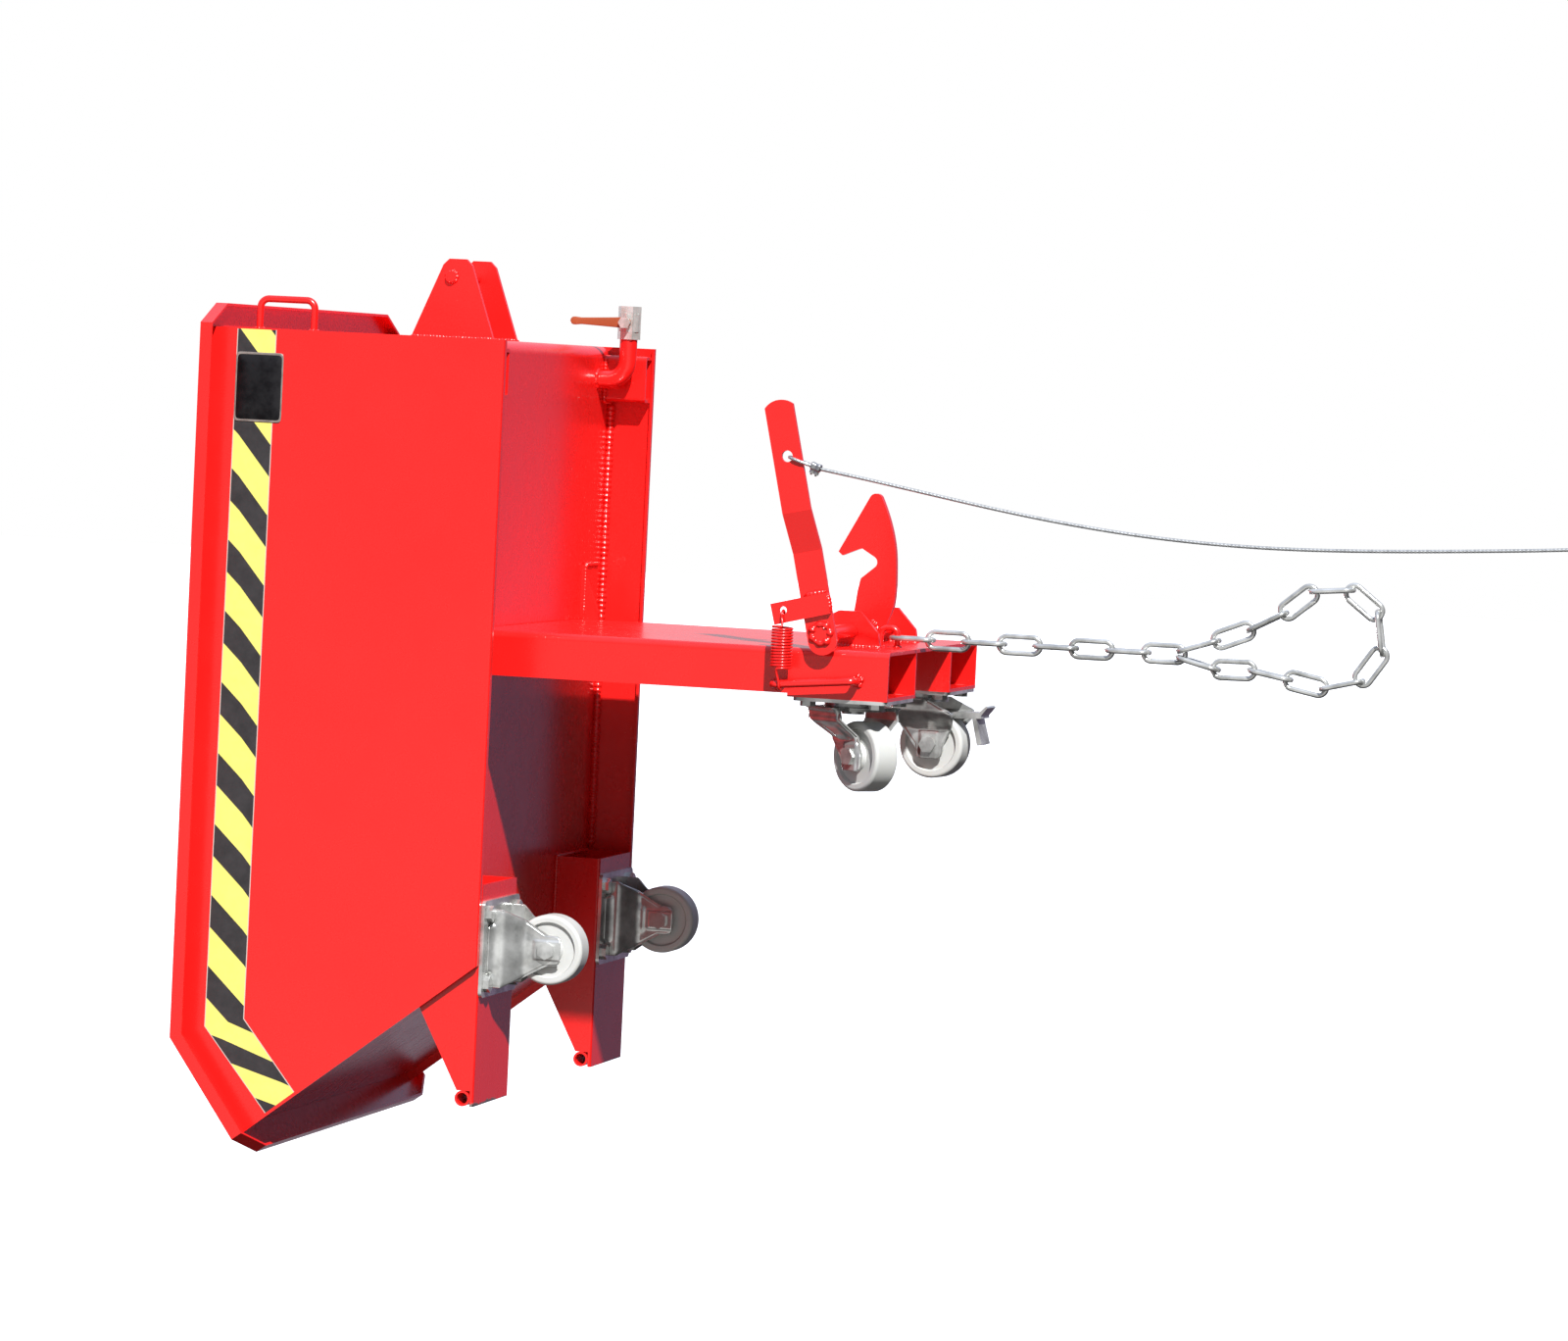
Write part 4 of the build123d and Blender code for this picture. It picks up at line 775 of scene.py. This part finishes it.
def blank_plate(name, profile, finish):
    """Part of a blank plate: rings of a squarish superellipse, each with a share of the size and a rise."""
    around = 96
    middle_x = -728.5
    middle_z = 267.5
    half_width = 28.5
    half_height = 39.5
    stand_off = 0.3
    share, rise = np.array(profile).T
    wide, deep = squarish(turn_angles(around), 0.12, 0.12)
    rings = np.stack([
        middle_x + half_width * share[:, None] * wide[None, :],
        np.broadcast_to(near_face - stand_off - rise[:, None], (len(profile), around)),
        middle_z + half_height * share[:, None] * deep[None, :],
    ], 2)
    piece = make_piece(name, rings, ring_faces(len(profile), around), finish)
    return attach(piece, "hopper")


blank_plate("blank_plate_edge", [(1, 0), (1, 0.7), (0.99, 0.9), (0.93, 0.9), (0.92, 0.7)], plate_edge)
blank_plate("blank_plate_face", [(0.935, 0.4), (0.935, 0.9), (0.93, 1.0), (0.3, 1.0)], plate_metal)


# Pressed legs of the casters


def pressed_leg(name, mount, along, across, down, top, outline, trail, body):
    """The pressed face of a caster's leg: a skin over the flat leg that gives it a press tool's soft form.

    At a depth d below the mount and a share t of the outline's width there, the face stands out from the
    wheel's plane by a smooth step from the root's spread to the axle's, plus a flare to the plate above, a
    raised pad round the axle and a shallow rib between them, less a roll at both edges.
    """
    rows = 64
    columns = 41
    sheet = 1.2
    root_spread = 43.7
    draw_in = 21.5
    flare_out = 8
    pad_out = 1.6
    rib_out = 1.3
    roll_in = 1.6
    depth, left, right = np.array(outline).T
    d = np.linspace(depth[0], depth[-1], rows)[:, None]
    t = np.linspace(-1, 1, columns)[None, :]
    low = np.interp(d, depth, left)
    high = np.interp(d, depth, right)
    u = (low + high) / 2 + t * (high - low) / 2
    below = d - top
    flare = np.clip(1 - below / 11, 0, 1) ** 2 * (1 - smooth_rise(np.abs(u), 24, 6))
    pad = (1 - smooth_rise(np.abs(u - trail), 9, 4)) * smooth_rise(d, 47, 5)
    rib = (1 - smooth_rise(np.abs(t), 0.35, 0.3)) * smooth_rise(below, 18, 10) * (1 - smooth_rise(d, 44, 5))
    roll = np.clip((np.abs(t) - 0.88) / 0.12, 0, 1) ** 2
    out = root_spread - draw_in * smooth_rise(below, 12, 26)
    out = out + flare_out * flare + pad_out * pad + rib_out * rib - roll_in * roll
    face = np.stack([u, out, np.broadcast_to(d, u.shape)], 2)
    back = face[:, ::-1] - np.array([0, sheet, 0])
    rings = np.concatenate([face, back], 1) @ np.stack([along, across, down]).astype(float)
    piece = make_piece(name, mount + rings, ring_faces(rows, 2 * columns), bright_zinc)
    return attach(piece, body)


# Each outline's rows: the depth below the mount, and where the leg begins and ends at that depth
rigid_top = 4
rigid_outline = [
    (4.2, -44.8, 44.8), (18, -44.8, 44.8), (62, -17.6, 17.6), (75, -17, 17), (79, -15.5, 15.5),
    (81.3, -12, 12),
]
fork_top = 10.3
fork_trail = 26
fork_foot = [(65, 8.8, 43.2), (75, 9.2, 42.8), (79, 10.5, 41.5), (81.3, 14, 38)]
fork_outline = {
    "near": [(10.6, -27.2, 27.2), (24.5, -27.2, 27.2), *fork_foot],
    "far": [
        (10.6, -27.2, 27.2), (22, -27.2, 51), (27, -24.5, 59), (32, -20, 60), (37, -15.6, 58), *fork_foot,
    ],
}
for _, word in SIDES:
    rigid_mount = joint_mm(f"rigid_wheel_{word}_spin")
    rigid_mount[0] = box_mm(f"rigid_bracket_{word}")[0][0]
    fork_mount = joint_mm(f"swivel_{word}_turn")
    axle_way = np.array(joints[f"swivel_wheel_{word}_spin"]["axis"], float)
    trail_way = np.cross(axle_way, UP)
    for hand, leg in ((-1, "front"), (1, "back")):
        pressed_leg(
            f"rigid_leg_{word}_{leg}", rigid_mount, hand * UP, hand * SIDEWAYS, REARWARD, rigid_top,
            rigid_outline, trail=0, body="hopper",
        )
        pressed_leg(
            f"fork_leg_{word}_{leg}", fork_mount, trail_way, hand * axle_way, -UP, fork_top,
            fork_outline[word], trail=fork_trail, body=f"swivel_{word}",
        )


# Weld beads


def weld_bead(name, corners, radius, body):
    """A weld bead under paint: a round carried along its seam, swelling with each ripple and tapered.

    The radius at a distance s is the bead's, times one plus a ripple of cosine in s over the ripple spacing
    and two slower waves, and it falls to nothing over the last two radii at both ends.
    """
    around = 8
    ring_spacing = 1.1
    ripple_spacing = 1.4 * radius
    corners = np.asarray(corners, float)
    s_corner = run_length(corners)
    length = s_corner[-1]
    s = np.linspace(0, length, max(12, int(length / ring_spacing)))
    line = np.stack([np.interp(s, s_corner, corners[:, i]) for i in range(3)], 1)
    ripple = 1 + 0.16 * np.cos(FULL_TURN * s / ripple_spacing)
    ripple = ripple + 0.10 * np.sin(s / 5.3) + 0.07 * np.sin(s / 13 + 1)
    taper = np.sqrt(np.clip(np.minimum(s, length - s) / (2 * radius), 0.02, 1))
    # A way that no seam here runs along
    across = (0.3, 0.5, 0.8)
    rings = carried_round(line, across, (radius * ripple * taper)[:, None], around)
    piece = make_piece(name, rings, ring_faces(len(line), around), red_enamel)
    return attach(piece, body)


def weld_ring(name, centre, axis, ring_radius, radius, body, lumps=9):
    """A weld round a bar or pipe: a bead carried round a circle.

    Its radius at an angle is the bead's, times one plus a cosine with the set number of lumps and two waves
    of three and five to the turn.
    """
    steps = 72
    around = 8
    first = np.cross(axis, (0.31, 0.52, 0.79))
    first /= np.linalg.norm(first)
    second = np.cross(axis, first)
    turn = turn_angles(steps)
    angle = turn_angles(around)
    uneven = 0.2 * np.cos(lumps * turn) + 0.13 * np.sin(3 * turn + 0.7) + 0.1 * np.sin(5 * turn + 2.1)
    swell = radius * (1 + uneven)
    out = ring_radius + swell[:, None] * np.cos(angle)[None, :]
    rise = swell[:, None] * np.sin(angle)[None, :]
    spoke = np.cos(turn)[:, None] * first + np.sin(turn)[:, None] * second
    rings = centre + out[:, :, None] * spoke[:, None, :] + rise[:, :, None] * axis
    piece = make_piece(name, rings, ring_faces(steps, around, closed=True), red_enamel)
    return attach(piece, body)


def bar_feet(node):
    """The middles of the two feet of a bent bar that stands along x, each with its word."""
    low, high = box_mm(node)
    radius = (high[1] - low[1]) / 2
    middle_y = (low[1] + high[1]) / 2
    return ("front", (low[0] + radius, middle_y, low[2])), ("rear", (high[0] - radius, middle_y, low[2]))


# Seams of the hopper. Beads sit a little proud of the sheets, so that none shows through on the other side
floor_x = box_mm("tray")[1][0]
back_z = box_mm("tray")[1][2]
skirt_x = floor_x + 3
sheet_x = floor_x + 1.7
doubler_x = floor_x + 3.5
doubler_y = box_mm("hinge_doublers")[1][1]
doubler_z = box_mm("hinge_doublers")[1][2]
doubler_inner_y = 229.8
doubler_low_z = 6
skirt_y = 308.7
skirt_low_z = -280
block_inner_y = 282
block_outer_y = 309
block_low_z = 268
block_top_z = 324
foot_inner_y = box_mm("foot_far")[0][1]
foot_outer_y = 304
foot_top_z = -282
foot_seam_low_z = -370
nose_x = -443.5
nose_z = -516
nose_ends_y = (172, 303)

# Each seam's bead radius, and its corners on the far side
hopper_seams = {
    "skirt": (4.6, [(skirt_x, skirt_y, block_low_z), (skirt_x, skirt_y, skirt_low_z)]),
    "block": (3.0, [
        (sheet_x, block_inner_y, block_top_z), (sheet_x, block_inner_y, block_low_z),
        (sheet_x, block_outer_y, block_low_z),
    ]),
    "doubler": (2.9, [
        (doubler_x, doubler_inner_y, doubler_low_z), (doubler_x, doubler_inner_y, doubler_z),
        (doubler_x, doubler_y, doubler_z),
    ]),
    "foot": (2.6, [
        (sheet_x, foot_inner_y, foot_seam_low_z), (sheet_x, foot_inner_y, foot_top_z),
        (sheet_x, foot_outer_y, foot_top_z),
    ]),
    "nose": (1.8, [(nose_x, y, nose_z) for y in nose_ends_y]),
}

# Seams of the lugs and the latch brackets, on both faces of each
lug_outer_y = box_mm("latch_lugs")[1][1]
lug_half = 3
lug_middle_y = lug_outer_y - lug_half
lug_ends_x = (-534, -637)
lug_z = back_z + 0.8
bracket_half = 4
bracket_middle_y = box_mm("latch_brackets")[1][1] - bracket_half
bracket_ends_x = (-117, -41)
roof_z = box_mm("base_roof")[1][2]
roof_near_y = box_mm("base_roof")[0][1]
pin_middle = sum(box_mm("catch_pin")) / 2
shaft_middle = joint_mm("latch_turn")
hook_half = box_mm("latch_hook")[1][1]
for side, word in SIDES:
    for seam, (radius, corners) in hopper_seams.items():
        weld_bead(f"{seam}_weld_{word}", np.array(corners) * (1, side, 1), radius, "hopper")
    faces = [(face, "in" if face * side < 0 else "out") for face in (-1, 1)]
    for face, edge in faces:
        y = side * lug_middle_y + face * lug_half
        weld_bead(f"lug_weld_{word}_{edge}", [(x, y, lug_z) for x in lug_ends_x], 2.8, "hopper")
    for face, edge in faces:
        y = side * bracket_middle_y + face * bracket_half
        weld_bead(f"bracket_weld_{word}_{edge}", [(x, y, roof_z) for x in bracket_ends_x], 2.8, "base_frame")
    outward = side * SIDEWAYS
    weld_ring(f"pin_weld_{word}", pin_middle + lug_outer_y * outward, outward, 6.5, 2.2, "hopper")
    weld_ring(f"hook_weld_{word}", shaft_middle + hook_half * outward, outward, 8, 2.4, "latch")

# Single welds of the latch, the spring's rod, the chain's eye, the drain and the handle
lever_weld_y = -241
tab_weld_y = -242
drain_y = 259
drain_z = 294.4
weld_ring("lever_weld", shaft_middle + lever_weld_y * SIDEWAYS, -SIDEWAYS, 10.5, 4.0, "latch", 7)
weld_bead("tab_weld_top", [(-97.5, tab_weld_y, 63.5), (-72, tab_weld_y, 70)], 3.2, "latch")
weld_bead("tab_weld_end", [(-71, tab_weld_y, 69), (-65.5, tab_weld_y, 46)], 3.0, "latch")
weld_ring("rod_weld_front", (-128.9, roof_near_y, -38), -SIDEWAYS, 5.2, 2.2, "base_frame", 6)
weld_ring("rod_weld_rear", (-35.2, roof_near_y, -29.5), -SIDEWAYS, 5.2, 2.6, "base_frame", 5)
for word, foot in bar_feet("chain_eye"):
    weld_ring(f"eye_weld_{word}", foot, UP, 3.5, 2.0, "base_frame", 6)
weld_ring("drain_weld", (floor_x, drain_y, drain_z), REARWARD, 11, 2.4, "hopper", 8)
for word, foot in bar_feet("grab_handle"):
    weld_ring(f"handle_weld_{word}", foot, UP, 4.4, 1.6, "hopper", 6)


# Floor and light


def pale_floor(reach, height):
    """A flat square grid far below the lifted part, matt and almost white, with a faint change of tone."""
    count = 9
    grid = np.linspace(-reach, reach, count)
    x, y = np.meshgrid(grid, grid, indexing="ij")
    index = np.arange(count * count).reshape(count, count)
    corners = (index[:-1, :-1], index[1:, :-1], index[1:, 1:], index[:-1, 1:])
    faces = np.stack(corners, -1).reshape(-1, 4).tolist()
    material, tree, shader, place = new_finish("pale_studio_floor", Roughness=0.8)
    grain = add_node(
        tree, "ShaderNodeTexNoise", {"Scale": per_metre(600)}, {"Vector": place.outputs["Object"]},
    )
    tone = add_node(
        tree, "ShaderNodeMix", {"A": linear("#F1F1F0"), "B": linear("#F6F6F5")},
        {"Factor": grain.outputs["Fac"]}, data_type="RGBA",
    )
    tree.links.new(tone.outputs["Result"], shader.inputs["Base Color"])
    return make_piece("pale_floor", np.stack([x, y, np.full_like(x, height)], -1), faces, material)


def studio_sky():
    """White behind the part, and a sky fill on it.

    The fill is pale blue above, a dim violet at the horizon, dark below it and to the rear, bright below the
    horizon on the near side, and pale at the far front.
    """
    world = bpy.data.worlds.new("studio")
    world.use_nodes = True
    sky = world.node_tree
    sky.nodes.clear()
    way = add_node(sky, "ShaderNodeTexCoord").outputs["Generated"]
    axes = add_node(sky, "ShaderNodeSeparateXYZ", links={"Vector": way})
    above = add_node(
        sky, "ShaderNodeMapRange", {"From Min": 0.05, "From Max": 0.5}, {"Value": axes.outputs["Z"]},
    )
    below = add_node(
        sky, "ShaderNodeMapRange", {"From Min": -0.12, "From Max": -0.6}, {"Value": axes.outputs["Z"]},
    )
    air = add_node(
        sky, "ShaderNodeMix", {"A": linear("#80708A"), "B": linear("#BBC8E7")},
        {"Factor": above.outputs["Result"]}, data_type="RGBA",
    )
    round_about = add_node(
        sky, "ShaderNodeMix", {"B": linear("#302E30")},
        {"Factor": below.outputs["Result"], "A": air.outputs["Result"]}, data_type="RGBA",
    )
    rearness = add_node(
        sky, "ShaderNodeMapRange", {"From Min": 0.3, "From Max": 0.8}, {"Value": axes.outputs["X"]},
    )
    shut_side = add_node(
        sky, "ShaderNodeMix", {"B": linear("#1F1D1E")},
        {"Factor": rearness.outputs["Result"], "A": round_about.outputs["Result"]}, data_type="RGBA",
    )
    nearness = add_node(
        sky, "ShaderNodeMapRange", {"From Min": -0.4, "From Max": -0.95}, {"Value": axes.outputs["Y"]},
    )
    ground = add_node(
        sky, "ShaderNodeMapRange", {"From Min": 0.06, "From Max": -0.2}, {"Value": axes.outputs["Z"]},
    )
    near_tone = add_node(
        sky, "ShaderNodeMix", {"A": linear("#8E9094"), "B": linear("#E4E3E0")},
        {"Factor": ground.outputs["Result"]}, data_type="RGBA",
    )
    open_side = add_node(sky, "ShaderNodeMix", data_type="RGBA", links={
        "Factor": nearness.outputs["Result"],
        "A": shut_side.outputs["Result"], "B": near_tone.outputs["Result"],
    })
    far_front = add_node(
        sky, "ShaderNodeVectorMath", {1: (-0.75, 0.65, 0.1)}, {0: way}, operation="DOT_PRODUCT",
    )
    farness = add_node(
        sky, "ShaderNodeMapRange", {"From Min": 0.62, "From Max": 0.95},
        {"Value": far_front.outputs["Value"]},
    )
    far_side = add_node(
        sky, "ShaderNodeMix", {"B": linear("#DADDE2")},
        {"Factor": farness.outputs["Result"], "A": open_side.outputs["Result"]}, data_type="RGBA",
    )
    fill = add_node(sky, "ShaderNodeBackground", {"Strength": 1.0}, {"Color": far_side.outputs["Result"]})
    behind = add_node(sky, "ShaderNodeBackground", {"Color": linear("#FFFFFF"), "Strength": 1.0})
    seen = add_node(sky, "ShaderNodeLightPath")
    either = add_node(sky, "ShaderNodeMixShader", links={
        0: seen.outputs["Is Camera Ray"], 1: fill.outputs["Background"], 2: behind.outputs["Background"],
    })
    add_node(sky, "ShaderNodeOutputWorld", links={"Surface": either.outputs["Shader"]})
    bpy.context.scene.world = world


def distant_lamp(name, way, energy, spread):
    """A lamp far off in the given direction, with its energy and the angle across it in degrees."""
    data = bpy.data.lights.new(name, "SUN")
    data.energy = energy
    data.angle = math.radians(spread)
    lamp = bpy.data.objects.new(name, data)
    lamp.rotation_euler = (math.atan2(math.hypot(way[0], way[1]), way[2]), 0.0, math.atan2(way[0], -way[1]))
    bpy.context.scene.collection.objects.link(lamp)


# The floor is seen by the camera alone, so that it throws no white light up onto the paint and stops no lamp
floor = pale_floor(reach=40_000, height=-1250)
floor.visible_diffuse = False
floor.visible_glossy = False
floor.visible_shadow = False
studio_sky()

# A small bright key lamp from above and the near side, a little to the rear, and a weak soft one at the far
# front, low enough that no level face mirrors it
distant_lamp("key", (0.34, -0.635, 0.69), energy=6.6, spread=1.5)
distant_lamp("fill", (-0.6, 0.75, -0.24), energy=2.4, spread=20)
bpy.context.scene.view_settings.view_transform = "Standard"
